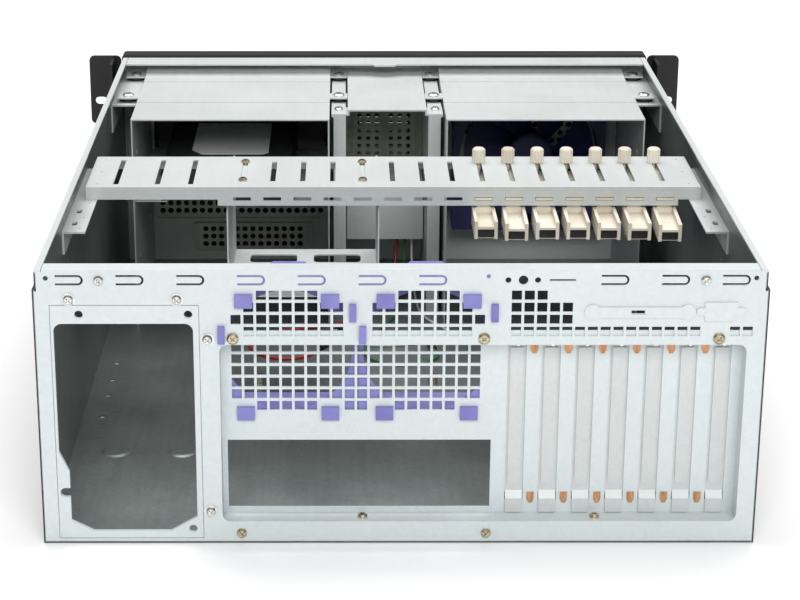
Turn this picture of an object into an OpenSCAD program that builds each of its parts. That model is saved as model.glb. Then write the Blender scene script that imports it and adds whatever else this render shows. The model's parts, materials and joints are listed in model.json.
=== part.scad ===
// Four-unit rack chassis with its top cover off, seen and described from the rear.
// Lengths are millimetres. Every module draws from the rear face (y = 0) forward,
// with z = 0 under the floor and x = 0 in the middle, and from_rear() centres the depth.

/* [Chassis body] */
// Width of the body, outside the side walls
body_w = 430; // [427:1:434]
// Depth of the body, rear face to steel front panel
body_d = 530; // [520:1:580]
// Height of the body
body_h = 175; // [174:1:178]
// Thickness of the sheet steel
sheet_t = 1.2; // [1:0.1:1.4]
// How far the top band of each side wall steps inward
joggle_in = 1.5; // [1:0.1:1.8]
// Height of that stepped band
joggle_h = 12; // [11:0.5:13]
// Width of the lip along the top of each side wall
side_lip = 4; // [3:0.5:5]
// Gap left around plates that drop into a cut-out
seam = 0.4; // [0.3:0.05:0.5]

/* [Power supply bay] */
// Web between the body side and the supply cut-out
psu_side = 9.6; // [9:0.2:11]
// Width of the supply cut-out in the rear panel
psu_cut_w = 87.6; // [87:0.2:89]
// Band of the rear panel above the supply cut-out
psu_band = 21.6; // [20:0.2:22]
// Underside of the supply cut-out above the ground
psu_cut_low = 3; // [2.4:0.2:3.4]
// Rim of the supply plate around its opening, on the outer side
psu_rim = 1.9; // [1.5:0.1:2.2]
// Rim of the supply plate beside its opening, on the inner side
psu_web = 3.8; // [3.3:0.1:4.5]
// Height that the supply plate takes from its cut-out
psu_open_less = 16.4; // [16.4:0.5:20.4]
// Radius of the supply screw holes
psu_hole_r = 2.5; // [2:0.1:2.6]
// Spacing of the upper two supply screws
psu_pitch_x = 64; // [64:0.5:65]
// Upper supply screws above the supply opening
psu_screw_over = 5.68; // [5.4:0.05:6.5]

/* [Rear window] */
// Web between the supply cut-out and the rear window
rear_web = 11.3; // [10.8:0.1:12]
// Web between the rear window and the body side
window_side = 11.4; // [10.5:0.2:12]
// Underside of the rear window above the ground
window_low = 14.1; // [13.5:0.2:15]
// Band of the rear panel above the rear window
window_band = 46.6; // [46:0.1:47.2]
// Corner radius of the rear window
window_r = 5; // [4:0.5:6]
// How deep the slot plate sits behind the rear panel
recess_d = 13.5; // [12.5:0.5:14.5]

/* [Board and cards] */
// Left edge of the connector opening from the window edge
io_side = 3.1; // [2.8:0.1:4]
// Width of the connector opening
io_w = 158.75; // [158:0.25:160]
// Height of the connector opening
io_h = 44.45; // [44:0.15:45.5]
// Connector opening above the window edge
io_rise = 3.4; // [3:0.2:4]
// From the connector opening to the middle of the first card slot
slot_gap = 14.55; // [14:0.05:15]
// Distance from card to card
slot_pitch = 20.32; // [20.2:0.02:20.4]
// Width of a card slot opening
slot_w = 11.2; // [10.8:0.1:12]
// Number of card slots
slot_count = 7; // [7:1:7]
// Height of a board standoff
standoff_h = 6.5; // [6:0.5:8]
// Bore radius of a board standoff
standoff_bore_r = 1.45; // [1.3:0.05:1.6]

/* [Vents] */
// Side of a square vent hole
vent_hole = 5.9; // [5.4:0.1:6.2]
// Pitch of the square vent holes
vent_pitch = 7.5; // [7.3:0.1:7.7]
// Radius of a round vent hole
dot_r = 2.3; // [2:0.1:2.6]
// Pitch of the round vent holes
dot_pitch = 6.9; // [6.6:0.1:7.2]

/* [Rear fan holders] */
// Outside of a rear fan holder, square
holder_w = 82; // [81:0.5:82.6]
// Distance between the two holders' centres
holder_pitch = 83; // [82.8:0.1:84]
// Depth of a rear fan holder
holder_d = 30; // [27:1:34]
// Wall of a rear fan holder
holder_t = 1.6; // [1.3:0.1:1.8]

/* [Card bar] */
// Rear edge of the card bar behind the steel front
bar_front = 332; // [327:1:336]
// Depth of the card bar
bar_d = 74; // [72:1:78]
// Top of the card bar below the top of the body
bar_drop = 10; // [10:0.2:11]
// Height of the bar's flanges
bar_flange = 13; // [12.6:0.2:14]
// Width of the slots along the bar
bar_slot_w = 3.6; // [3.4:0.1:4]
// Distance that the card retainers stand left of their slots
retainer_shift = 9; // [8.5:0.1:9.5]
// Width of a card retainer
retainer_w = 15.3; // [14.5:0.1:16]
// Reach of a card retainer behind the bar
retainer_reach = 30; // [26:1:34]
// Diameter of a retainer knob
knob_w = 9.2; // [8.6:0.1:10]
// Height of a retainer knob
knob_h = 10.3; // [9:0.1:10.6]

/* [Drive cages] */
// Outside width of a drive cage
cage_w = 149; // [148:0.5:150]
// Depth of a drive cage
cage_d = 154; // [148:1:160]
// Sheet thickness of the cages
cage_t = 1; // [0.8:0.1:1.2]
// Distance between the inner walls of the two cages
cage_gap = 88; // [87:0.5:89]
// Outside width of the hanging drive bracket
bracket_w = 103.6; // [102.8:0.2:104.6]
// Length of the hanging drive bracket
bracket_d = 100; // [94:1:106]
// Drop of the hanging drive bracket under the bar
bracket_h = 80; // [76:1:84]

/* [Front] */
// Depth of the plastic front
bezel_d = 15; // [14:0.5:18]
// How far the front stands above the body
bezel_rise = 2; // [1.5:0.1:2]
// How far each rack ear reaches beyond the body
ear_reach = 26.3; // [25.6:0.1:27]
// Thickness of the rack ears
ear_t = 2; // [1.5:0.1:2.5]
// Height of one rack ear tab
ear_tab_h = 57; // [52:1:60]
// From the outer edge of an ear to the middle of its rack slots
rack_slot_in = 8.75; // [8.4:0.05:9]
// Spacing of the rack slots up the chassis
rack_pitch_z = 101.6; // [100:0.2:103]
// Length of a rack slot
rack_slot_l = 9.7; // [9:0.1:10.5]
// Width of a rack slot
rack_slot_w = 6.4; // [6:0.1:7]
// Reach of the grab handles
handle_reach = 38; // [34:1:44]
// Diameter of the handle bar
handle_bar = 9; // [8:0.5:10]
// Spacing of the handle posts
handle_pitch = 142; // [138:1:146]
// Side of the front fan
fan_w = 120; // [119:0.5:120.5]
// Depth of the front fan
fan_d = 25; // [24:0.5:26]
// Radius of the fan rotor
rotor_r = 55; // [52:0.5:56]
// Diameter of the power button
power_w = 14; // [12:0.5:16]
// Diameter of the reset button
reset_w = 6; // [5:0.5:7]
// Travel of the buttons
button_travel = 2; // [1.5:0.1:2.5]
// Diameter of the door hinge pins
hinge_pin = 3; // [2.6:0.1:3.4]

/* [Hidden] */
$fn = 48;

// Overrun of every cut
cut = 1;
// Gap between a moving piece and its neighbours
play = 0.3;
// Radial gap of a pin that turns in a bore
run_gap = 0.05;

// Body outline
half_w = body_w / 2;
wall_in = half_w - sheet_t;
top_half = half_w - joggle_in;
top_in = top_half - sheet_t;
joggle_z = body_h - joggle_h;

// Screws
screw_r = 1.5;
screw_hole_r = 1.6;
screw_head_r = 3;
screw_head_h = 2;
screw_len = 5;
wide_head_r = 3.5;
washer_r = 4;
washer_t = 0.6;
cross_w = 0.8;
cross_l = 3.4;
cross_deep = 1.2;

crown_share = 0.7;

// Power supply plate
psu_cut_h = body_h - psu_cut_low - psu_band;
psu_open_h = psu_cut_h - psu_open_less;
psu_left = -half_w + psu_side;
psu_right = psu_left + psu_cut_w;
psu_top = psu_cut_low + psu_cut_h;
psu_open_left = psu_left + psu_rim;
psu_open_right = psu_right - psu_web;
psu_open_w = psu_open_right - psu_open_left;
psu_sill = 4.7;
psu_open_low = psu_cut_low + psu_sill;
psu_open_top = psu_open_low + psu_open_h;
psu_lap = 7;
psu_rim_r = 5;
psu_hole_in = 2.7;
psu_hole_x = psu_open_right - psu_hole_in;
psu_hole_up = 1.68;
psu_hole_low = psu_open_low + psu_hole_up;
psu_pitch_z = psu_open_h - psu_hole_up + psu_screw_over;
psu_notch_r = 3;
psu_notch_up = 25.6;
psu_notch_z = psu_open_low + psu_notch_up;
psu_notch_in = 2.8;
psu_shoulder = [5.8, 39.3, 52.3];
psu_foot = [19.3, 7];
psu_corner = [16.5, 9.5];
psu_screw_up = 3.4;
psu_screw_in = 4.5;
psu_screw_x = [11.5, 12.9];
psu_screw_z = [21.5, 17.9];
psu_screws = concat([for (x = [psu_left + psu_screw_x[0], psu_right - psu_screw_x[1]]) [x, psu_top + psu_screw_up]], [
    [psu_right + psu_screw_in, psu_top - psu_screw_z.x], [psu_right + psu_screw_in, psu_cut_low + psu_screw_z.y]
]);

// Rear window and what lines up with it
win_left = psu_right + rear_web;
win_right = half_w - window_side;
win_top = body_h - window_band;
tray_y = recess_d;
tray_lap = 4.2;
tray_lap_up = 8.4;
tray_lap_low = 10.8;
io_left = win_left + io_side;
io_low = window_low + io_rise;
slot_x1 = io_left + io_w + slot_gap;
slot_foot = 8;
slot_head = 3;
slot_low = window_low + slot_foot;
slot_top = win_top - slot_head;
cover_w = 18.4;
cover_t = 1;
tongue_w = 10.2;
ledge_z = win_top + sheet_t;

// Fan holders
holder_in = 39.9;
holder_drop = 9.2;
holder_x1 = win_left + holder_in;
holder_z = win_top - holder_drop;
holder_y = tray_y + sheet_t + play;
hook_w = 10.6;
hook_h = 5.6;
hook_lip = 2.6;
hook_x = 25.3;
tab_w = 4.2;
tab_h = 10.6;
tab_x = 38.6;
tab_low = 15.8;
tab_high = 29.6;
arm_t = 2;
thumb_w = 22.6;
thumb_h = 4.8;
thumb_t = 3;
fan_ring_share = 0.93;

// Rear panel face
lance_l = 16.3;
lance_h = 6.4;
lance_cut = 1.3;
lance_pitch = 35.3;
lance_drop = 6.3;
lance_in = 13.8;
lance_z = body_h - lance_drop;
lance_x1 = -half_w + lance_in;
lance_count = 12;
lance_skip = [7, 8];
panel_flange = 12;
grille_up = 8.4;
grille_z = win_top + grille_up;
side_grille_in = 2.3;
side_grille_x = slot_x1 - side_grille_in;
far_vent_in = 7.7;
far_vent_x = win_right - far_vent_in;
knock_in = 37.5;
knock_x = slot_x1 + knock_in;
knock_w = 65;
knock_h = 9.4;
knock_up = 12.2;
knock_z = grille_z + knock_up;
knock_t = 1.1;
knock_slot_share = 0.48;
knock_low_share = 0.38;
knock_high_share = 0.33;
knock_slot_w = 8;
knock_slot_h = 2.6;
plug_in = 26;
plug_x = win_right - plug_in;
plug_w = 29;
plug_h = 11.5;
plug_up = 12.5;
plug_z = grille_z + plug_up;
plug_tab_share = 0.4;
top_dots = [[50.9, 2.4, 1.3], [62.4, 0, 1.75], [71.2, 0, 2.8], [79.6, 0, 1.75]];
top_slit = [86.4, 101.7, 1.1];
frame_screw_in = [8, 155.6, 16.8];
frame_screws_x = [win_left + frame_screw_in.x, win_left + frame_screw_in.y, win_right - frame_screw_in.z];
frame_screw_up = 4.1;
frame_screw_z = win_top + frame_screw_up;
low_screw_in = 11.5;
low_screw_share = 0.5131;
low_screws_x = [win_left + low_screw_in, win_left + low_screw_share * (win_right - win_left)];
low_screw_drop = 7.5;
low_screw_z = window_low - low_screw_drop;
floor_screw_shares = [0.2728, 0.7265];
floor_screws_x = [for (k = floor_screw_shares) win_left + k * (win_right - win_left)];
corner_hole_in = 8.3;

// Card bar, its brackets and the retainers
bar_y = body_d - bar_front;
bar_z = body_h - bar_drop;
bar_end = 8.5;
bar_x = half_w - bar_end;
bar_short = 8.7;
bar_step = 97;
bar_step_x = -half_w + bar_step;
bar_slot_y = [14, 61.5];
long_slot_y = [7, 66];
long_slots = [28, 56, 78.4];
bar_slots = 15;
dash_w = 12;
dash_h = 2.4;
dash_drop = 8.3;
dash_z = bar_z - dash_drop;
shelf_w = 14.8;
shelf_up = 7;
shelf_back = 70;
shelf_z = bar_z - bar_short;
pivot_y = bar_y + sheet_t / 2;
knob_in = 60;
knob_y = bar_y + knob_in;
arm_wall = 2.2;
arm_web = 1.6;
arm_under = 2;
arm_deep = 12;
arm_top = bar_flange + arm_under;
arm_low = arm_top + arm_deep;
arm_web_drop = 3.7;
arm_clear = 1.8;
arm_beam = 3;
arm_beam_w = 9;
arm_rise = 13;
boss_r = 4.4;
boss_h = 5;
stem_r = 1.5;
stem_l = 20;
stem_gap = 0.7;
pad_t = 0.8;
knob_ribs = 14;
knob_rib_r = 0.7;
knob_bevel = 0.8;
rest_tilt = [0, 3, 0.8, 0.8, 1.5, 2.2, 4.5];
pad_drop = 8.2;
pad_deep = 4;

// Hanging drive bracket
hang_x = slot_x1 - retainer_shift - 8 * slot_pitch;
hang_screw_in = 11;
hang_left = hang_x - hang_screw_in;
hang_in = 8;
hang_y = bar_y + hang_in;
hang_lip = 14;
hang_lip_d = 58;
hang_strip = 12;
hang_rows = 3;
hang_window_r = 4;
hang_hole_y = 20;
hang_hole_z = [42, 67];
bar_screw_in = [2, -2];

// Drive cages and what carries them
front_in = body_d - sheet_t;
cage_clear = 2.8;
cage_front = front_in - cage_clear;
cage_y = cage_front - cage_d;
cage_z = bar_z;
cage_in = cage_gap / 2;
cage_out = cage_in + cage_w;
cage_ear_in = [82, 14];
ear_y = [for (d = cage_ear_in) cage_front - d];
cage_ear = 16;
cage_ear_l = 15;
grommet_r = 6.6;
grommet_h = 3;
rail_z = cage_z - cage_t - grommet_h;
rail_d = 96;
upright_d = 128;
rail_y = cage_front - rail_d;
upright_y = cage_front - upright_d;
upright_x = 31.5;
upright_w = 9.4;
upright_flange = 11;
inner_screw_x = 37;
outer_screw_in = 8.5;
outer_screw_x = cage_out + outer_screw_in;
bridge_screw_in = 14;
bridge_screw_y = upright_y + bridge_screw_in;
bridge_up = 3.4;
bridge_z = rail_z + sheet_t + bridge_up;
bridge_half = inner_screw_x - grommet_r - seam;
bridge_foot = 7;
cage_hole_r = 1.8;
cage_slot_l = 8;

// Storage drive on its shelf
drive_w = 101.6;
drive_d = 146;
drive_h = 25.4;
drive_z = 99;
drive_in = 27;
drive_x = -cage_in - drive_in - drive_w / 2;
drive_lid = 1.4;
drive_edge = 5;
drive_plate = [5, 4, 8, 9];
drive_rail = 1.2;
label_w = 60;
label_d = 92;
label_t = 0.3;
label_y = 40;
label_nick = [8, 4, 12];

// Steel front
lip_d = 23;
lip_tab = [8, 11, 4];
bay_w = 146;
bay_count = 3;
bay_z = 37;
bay_head = 4.1;
bay_h = (cage_z - bay_head - bay_z) / bay_count;
small_bay_w = 101.6;
small_bay_h = 25.4;
small_bay_z = 9;
bay_x = -(cage_in + cage_w / 2);
small_bay_in = 9;
small_bay_x = bay_x + small_bay_in;
fan_x = cage_in + cage_w / 2;
fan_fit = 0.4;
fan_out = fan_w / 2 + fan_fit + holder_t;
fan_head = 4;
fan_z = cage_z - cage_t - fan_head - fan_out;
blank_lip = 1.2;
vent_drop = 8;
vent_top = cage_z - vent_drop;
vent_w = 52;
vent_col = 7.1;
vent_line = 6.5;
vent_r = 1.9;

// Control box and its buttons
box_d = 70;
box_y = cage_front - box_d;
box_z = 43;
box_h = 44;
box_w = 61;
button_up = 31;
reset_up = 12;
lens_up = 18.5;
button_z = box_z + button_up;
reset_z = box_z + reset_up;
lens_z = box_z + lens_up;
vent_low = box_z + box_h;
lens_x = 9;
lens_r = 1.6;

// Plastic front
bezel_y = body_d + play;
bezel_front = bezel_y + bezel_d;
bezel_z = body_h + bezel_rise;
bezel_t = 3;
door_side = [3, 7];
door_x1 = cage_in + door_side.x;
door_x2 = half_w - door_side.y;
door_low = 14;
door_head = 14;
door_high = body_h - door_head;
door_t = 6;
door_gap = 0.5;
ledge_w = 8;
door_y = bezel_front - door_t;
axis_x = door_x2 - door_gap - door_t / 2;
axis_y = bezel_front - door_t / 2;
hinge_pin_l = 5;
lock_z = (door_low + door_high) / 2;
lock_r = 6;
lock_in = 2;
lock_x = door_x1 + ledge_w + lock_r + lock_in;
cam_l = 20;
cam_w = 7;
cam_t = 2;
filter_t = 3;
louvre_w = 3.2;
louvre_pitch = 7.6;

// Rack ears and handles
ear_x = half_w + play;
ear_out = half_w + ear_reach;
ear_h = body_h + bezel_rise;
ear_leg = 50;
ear_leg_z = 8;
ear_r = 4;
gusset_x = 5;
gusset_t = 2.5;
gusset_d = 25;
handle_in = 7.2;
handle_x = half_w + handle_in;
handle_r = handle_bar / 2;
handle_bend = 12;

// Whole object
rear_out = hook_lip;
depth_out = body_d + handle_reach + handle_r;
mid_y = (depth_out - rear_out) / 2;

module from_rear() translate([0, -mid_y, 0]) children();

// Box between two corners
module slab(a, b) translate(a) cube(b - a);

// Flat outline in x and z, thickened forward from y
module sheet_xz(y, t) translate([0, y + t, 0]) rotate([90, 0, 0]) linear_extrude(t) children();

// Flat outline in x and y, thickened upward from z
module sheet_xy(z, t) translate([0, 0, z]) linear_extrude(t) children();

// Flat outline in y and z, thickened along x
module sheet_yz(x, t) translate([x, 0, 0]) rotate([90, 0, 90]) linear_extrude(t) children();

module rect(a, b) translate(a) square(b - a);

// Rectangle with round corners, from true arcs
module round_rect(a, b, r) {
    rect([a.x + r, a.y], [b.x - r, b.y]);
    rect([a.x, a.y + r], [b.x, b.y - r]);
    for (x = [a.x + r, b.x - r], y = [a.y + r, b.y - r]) translate([x, y]) circle(r);
}

// Slot with round ends, along x by default
module stadium(l, w, turn = 0) rotate(turn) {
    square([l - w, w], center = true);
    for (s = [-1, 1]) translate([s * (l - w) / 2, 0]) circle(w / 2);
}

module mirror_pair() {
    children();
    mirror([1, 0, 0]) children();
}

// Screw with its axis along z and the underside of its head at z = 0
module screw(head_r = screw_head_r, head_h = screw_head_h, len = screw_len, ring = 0) {
    difference() {
        union() {
            rotate_extrude() polygon([
                [0, -len], [screw_r, -len], [screw_r, 0], [head_r, 0],
                [head_r, head_h / 2], [head_r * crown_share, head_h], [0, head_h]
            ]);
            if (ring > 0) cylinder(r = ring, h = washer_t);
        }
        for (a = [0, 90]) rotate(a + 45)
            translate([-cross_l / 2, -cross_w / 2, head_h - cross_deep])
                cube([cross_l, cross_w, cross_deep + cut]);
    }
}

module rear_screw(p, head_r = screw_head_r, ring = 0)
    translate([p.x, 0, p.y]) rotate([90, 0, 0]) screw(head_r = head_r, ring = ring);

module holes_at(points, r) for (p = points) translate(p) circle(r);

// Chassis tub: floor and side walls from one sheet
module chassis_tub() color([0.80, 0.83, 0.84]) from_rear() {
    difference() {
        union() {
            translate([0, body_d, 0]) rotate([90, 0, 0]) linear_extrude(body_d) {
                rect([-half_w, 0], [half_w, sheet_t]);
                for (s = [-1, 1]) polygon([
                    [s * half_w, 0], [s * half_w, joggle_z], [s * top_half, joggle_z + joggle_in],
                    [s * top_half, body_h], [s * (top_half - side_lip), body_h],
                    [s * (top_half - side_lip), body_h - sheet_t], [s * top_in, body_h - sheet_t],
                    [s * top_in, joggle_z + joggle_in - sheet_t / 2],
                    [s * wall_in, joggle_z - sheet_t / 2], [s * wall_in, 0]
                ]);
            }
            for (p = dimples) translate([p.x, p.y, 0]) rotate_extrude() polygon([
                [0, sheet_t / 2], [dimple_r, sheet_t / 2], [dimple_r * crown_share, sheet_t + dimple_h],
                [0, sheet_t + dimple_h]
            ]);
        }
        for (y = floor_holes_y) translate([-half_w + floor_hole_in, y, -cut])
            cylinder(r = floor_hole_r, h = sheet_t + 2 * cut);
        for (y = wall_marks_y, s = [-1, 1]) translate([s * half_w, y, wall_mark_z])
            rotate([0, 90, 0]) translate([0, 0, -sheet_t - cut]) cylinder(r = wall_mark_r, h = 2 * (sheet_t + cut));
    }
}
dimple_r = 11;
dimple_h = 0.9;
dimple_y = 132;
dimple_shares = [0.2306, 0.7352];
dimples = [for (k = dimple_shares) [psu_left + k * psu_cut_w, dimple_y]];
floor_hole_in = 14.5;
floor_hole_r = 2.5;
floor_holes_y = [191.6, 229.7, 258.5, 291.4];
wall_marks_y = [44, 88, 150];
wall_mark_drop = 45;
wall_mark_z = body_h - wall_mark_drop;
wall_mark_r = 1.2;

// Outline of an end panel inside the tub, up between the side lips
lip_x = top_half - side_lip - seam;
module panel_outline() {
    rect([-wall_in, sheet_t], [wall_in, joggle_z - sheet_t]);
    rect([-top_in, joggle_z - 2 * sheet_t], [top_in, body_h - sheet_t]);
    rect([-lip_x, joggle_z], [lip_x, body_h]);
}

// A row of square holes: first column, last column
module vent_row(x, z, c0, c1) for (c = [c0:c1])
    translate([x + c * vent_pitch, z]) square(vent_hole, center = true);

module holder_slots_upper() for (i = [0, 1]) translate([holder_x1 + i * holder_pitch, holder_z]) {
    for (s = [-1, 1]) translate([s * hook_x, holder_w / 2 - hook_h / 2])
        square([hook_w - 2 * seam, hook_h - 2 * seam], center = true);
    translate([-tab_x, tab_low]) square([tab_w, tab_h], center = true);
    translate([tab_x, tab_high]) square([tab_w, tab_h], center = true);
}

module lance() difference() {
    union() {
        rect([0, -lance_h / 2], [lance_l - lance_h / 2, lance_h / 2]);
        translate([lance_l - lance_h / 2, 0]) circle(lance_h / 2);
    }
    rect([-cut, -lance_h / 2 + lance_cut], [lance_l - lance_h / 2, lance_h / 2 - lance_cut]);
    translate([lance_l - lance_h / 2, 0]) circle(lance_h / 2 - lance_cut);
}

module rear_panel() color([0.86, 0.89, 0.90]) from_rear() {
    sheet_xz(0, sheet_t) difference() {
        panel_outline();
        rect([psu_left, psu_cut_low], [psu_right, psu_top]);
        round_rect([win_left, window_low], [win_right, win_top], window_r);
        for (i = [0, 1]) translate([holder_x1 + i * holder_pitch, grille_z]) {
            vent_row(0, 0, i == 0 ? -3 : -4, i == 0 ? 4 : 3);
            vent_row(0, vent_pitch, -4, 4);
            vent_row(0, 2 * vent_pitch, i == 0 ? -3 : -4, i == 0 ? 4 : 3);
            vent_row(0, 3 * vent_pitch, -2, 2);
        }
        translate([side_grille_x, grille_z]) {
            vent_row(0, 0, 0, 14);
            vent_row(0, vent_pitch, 0, 4);
            vent_row(0, 2 * vent_pitch, 0, 4);
            vent_row(0, 3 * vent_pitch, 0, 2);
        }
        translate([far_vent_x, grille_z]) vent_row(0, 0, 0, 1);
        for (i = [0:lance_count - 1]) if (len(search(i, lance_skip)) == 0)
            translate([lance_x1 + i * lance_pitch, lance_z]) lance();
        for (d = top_dots) translate([d.x, lance_z + d.y]) circle(d.z);
        rect([top_slit.x, lance_z - top_slit.z / 2], [top_slit.y, lance_z + top_slit.z / 2]);
        for (s = [-1, 1]) translate([s * (half_w - corner_hole_in), lance_z + sheet_t]) circle(screw_r);
        translate([knock_x + knock_w * knock_slot_share, knock_z]) square([knock_slot_w, knock_slot_h], center = true);
        holder_slots_upper();
        holes_at(psu_screws, screw_hole_r);
        for (x = frame_screws_x) translate([x, frame_screw_z]) circle(screw_hole_r);
        for (x = low_screws_x) translate([x, low_screw_z]) circle(screw_hole_r);
        for (x = top_screws_x) translate([x, lance_z]) circle(screw_hole_r);
    }
    slab([-lip_x, sheet_t / 2, body_h - sheet_t], [lip_x, panel_flange, body_h]);
    sheet_xz(-knock_t, knock_t + sheet_t / 2) difference() {
        union() {
            rect([knock_x + knock_h / 2, knock_z - knock_h * knock_low_share],
                 [knock_x + knock_w - knock_h / 2, knock_z + knock_h * knock_high_share]);
            for (x = [knock_x + knock_h / 2, knock_x + knock_w - knock_h / 2])
                translate([x, knock_z]) circle(knock_h / 2);
            rect([plug_x, plug_z - plug_h / 2], [plug_x + 2 * plug_w / 3, plug_z + plug_h / 2]);
            translate([plug_x + plug_w / 3, plug_z]) stadium(plug_w, plug_h * plug_tab_share);
        }
        translate([knock_x + knock_w * knock_slot_share, knock_z]) square([knock_slot_w, knock_slot_h], center = true);
    }
}
top_screw_in = [39.1, 37.7];
top_screws_x = [-half_w + top_screw_in.x, half_w - top_screw_in.y];

// Opening in the supply plate
module psu_opening() difference() {
    union() {
        polygon([
            [psu_open_left, psu_open_top - psu_rim_r], [psu_open_left, psu_open_low + psu_shoulder.z],
            [psu_open_left + psu_shoulder.x, psu_open_low + psu_shoulder.y],
            [psu_open_left + psu_shoulder.x, psu_open_low + psu_foot.y],
            [psu_open_left + psu_foot.x, psu_open_low],
            [psu_open_right - psu_corner.x, psu_open_low],
            [psu_open_right, psu_open_low + psu_corner.y],
            [psu_open_right, psu_open_top - psu_rim_r],
            [psu_open_right - psu_rim_r, psu_open_top], [psu_open_left + psu_rim_r, psu_open_top]
        ]);
        for (x = [psu_open_left + psu_rim_r, psu_open_right - psu_rim_r])
            translate([x, psu_open_top - psu_rim_r]) circle(psu_rim_r);
        translate([psu_open_left + psu_notch_in, psu_notch_z]) circle(psu_notch_r);
        rect([psu_open_left + psu_notch_in, psu_notch_z - psu_notch_r],
             [psu_open_left + psu_shoulder.x + seam, psu_notch_z + psu_notch_r]);
    }
}

module psu_plate() color([0.87, 0.90, 0.91]) from_rear() difference() {
    union() {
        sheet_xz(0, 2 * sheet_t)
            rect([psu_left + seam, psu_cut_low + seam], [psu_right - seam, psu_top - seam]);
        sheet_xz(sheet_t, sheet_t)
            rect([psu_left - psu_lap, sheet_t], [psu_right + psu_lap, psu_top + psu_lap]);
    }
    sheet_xz(-cut, 2 * (sheet_t + cut)) {
        psu_opening();
        translate([psu_hole_x, psu_hole_low + psu_pitch_z]) circle(psu_hole_r);
        translate([psu_hole_x - psu_pitch_x, psu_hole_low + psu_pitch_z]) circle(psu_hole_r);
        translate([psu_hole_x, psu_hole_low]) circle(psu_hole_r);
        holes_at(psu_screws, screw_hole_r);
    }
}

// Recessed tray behind the rear window: connector opening, fan grille and card slots
module io_slot_plate() color([0.87, 0.90, 0.91]) from_rear() difference() {
    union() {
        // Flange against the back of the rear panel
        slab([win_left - tray_lap, sheet_t, window_low - tray_lap_low],
             [win_right + tray_lap, 2 * sheet_t, win_top + tray_lap_up]);
        // Walls and base of the tray
        slab([win_left - sheet_t, sheet_t, window_low - sheet_t],
             [win_right + sheet_t, tray_y + sheet_t, win_top + sheet_t]);
    }
    slab([win_left, 0, window_low], [win_right, tray_y, win_top]);
    sheet_xz(0, tray_y + sheet_t + cut) {
        rect([io_left, io_low], [io_left + io_w, io_low + io_h]);
        for (i = [0:slot_count - 1])
            rect([slot_x1 + i * slot_pitch - slot_w / 2, slot_low],
                 [slot_x1 + i * slot_pitch + slot_w / 2, slot_top]);
        translate([io_left + tray_vent_in.x, win_top - tray_vent_in.y]) {
            for (r = [0:tray_vent_rows - 1]) vent_row(0, -r * vent_pitch, 0, 19);
            for (c = [[2, 6], [9, 10], [13, 17]]) vent_row(0, -tray_vent_rows * vent_pitch, c.x, c.y);
        }
        for (i = [0, 1]) translate([holder_x1 + i * holder_pitch, holder_z]) {
            for (s = [-1, 1]) translate([s * hook_x, -holder_w / 2 + hook_h / 2])
                square([hook_w - 2 * seam, hook_h - 2 * seam], center = true);
        }
    }
    sheet_xz(0, 3 * sheet_t) {
        holder_slots_upper();
        for (x = frame_screws_x) translate([x, frame_screw_z]) circle(screw_hole_r);
        for (x = low_screws_x) translate([x, low_screw_z]) circle(screw_hole_r);
    }
    for (x = floor_screws_x) translate([x, tray_y / 2, 0]) cylinder(r = screw_hole_r, h = window_low + cut);
    for (i = [0:slot_count - 1]) translate([slot_x1 + i * slot_pitch, tray_y / 2, win_top - cut])
        cylinder(r = screw_hole_r, h = sheet_t + 2 * cut);
}

tray_vent_in = [6.1, 6.6];
tray_vent_rows = 5;

// Blank cover for one card slot, centred on x = 0
module slot_cover() {
    difference() {
        union() {
            slab([-cover_w / 2, tray_y + sheet_t, slot_low + cover_foot],
                 [cover_w / 2, tray_y + sheet_t + cover_t, ledge_z + cover_t]);
            slab([-cover_w / 2, 2 * sheet_t + seam, ledge_z], [cover_w / 2, tray_y + sheet_t + cover_t, ledge_z + cover_t]);
        }
        translate([0, tray_y / 2, ledge_z - cut]) cylinder(r = screw_hole_r, h = cover_t + 2 * cut);
    }
    // Pressed panel that stands in the slot
    sheet_xz(tray_y + sheet_t - press_t, press_t + cover_t / 2) {
        rect([-press_half, slot_low + press_in.x], [press_half, slot_top - press_in.y]);
        translate([0, slot_low + press_in.x]) circle(press_half);
    }
    // Tongue that steps out over the tray
    sheet_yz(-tongue_w / 2, tongue_w) polygon([
        [tray_y + sheet_t, slot_low + tongue_z[3]], [tray_y + sheet_t + cover_t, slot_low + tongue_z[3]],
        [tray_y + sheet_t + cover_t, slot_low + cover_foot], [tray_y - seam, slot_low + tongue_z[0]],
        [tray_y - seam, window_low + seam], [tray_y - seam - cover_t, window_low + seam],
        [tray_y - seam - cover_t, slot_low + tongue_z[1]], [tray_y + sheet_t, slot_low + tongue_z[2]]
    ]);
}
cover_foot = 5;
press_half = 4;
press_t = 1;
press_in = [14, 4];
tongue_z = [0.5, 1.5, 6, 7];

module slot_covers() color([0.83, 0.86, 0.88]) from_rear()
    for (i = [0:slot_count - 1]) translate([slot_x1 + i * slot_pitch, 0, 0]) slot_cover();

// Springy contact tabs on the ribs between the card slots
module contact_springs() color([0.80, 0.55, 0.38]) from_rear()
    for (i = [0:slot_count - 2]) translate([slot_x1 + (i + 0.5) * slot_pitch, 0, 0])
        for (z = [slot_low - spring_low, slot_top - spring_drop]) sheet_xz(tray_y - spring_t, spring_t) polygon([
            [-spring_w / 2, z + spring_h], [spring_w / 2, z + spring_h], [spring_w / 2, z + spring_h / 3],
            [spring_w / 4, z], [-spring_w / 4, z], [-spring_w / 2, z + spring_h / 3]
        ]);
spring_w = 4.4;
spring_h = 7;
spring_t = 0.6;
spring_low = 1.7;
spring_drop = 7.5;

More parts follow.
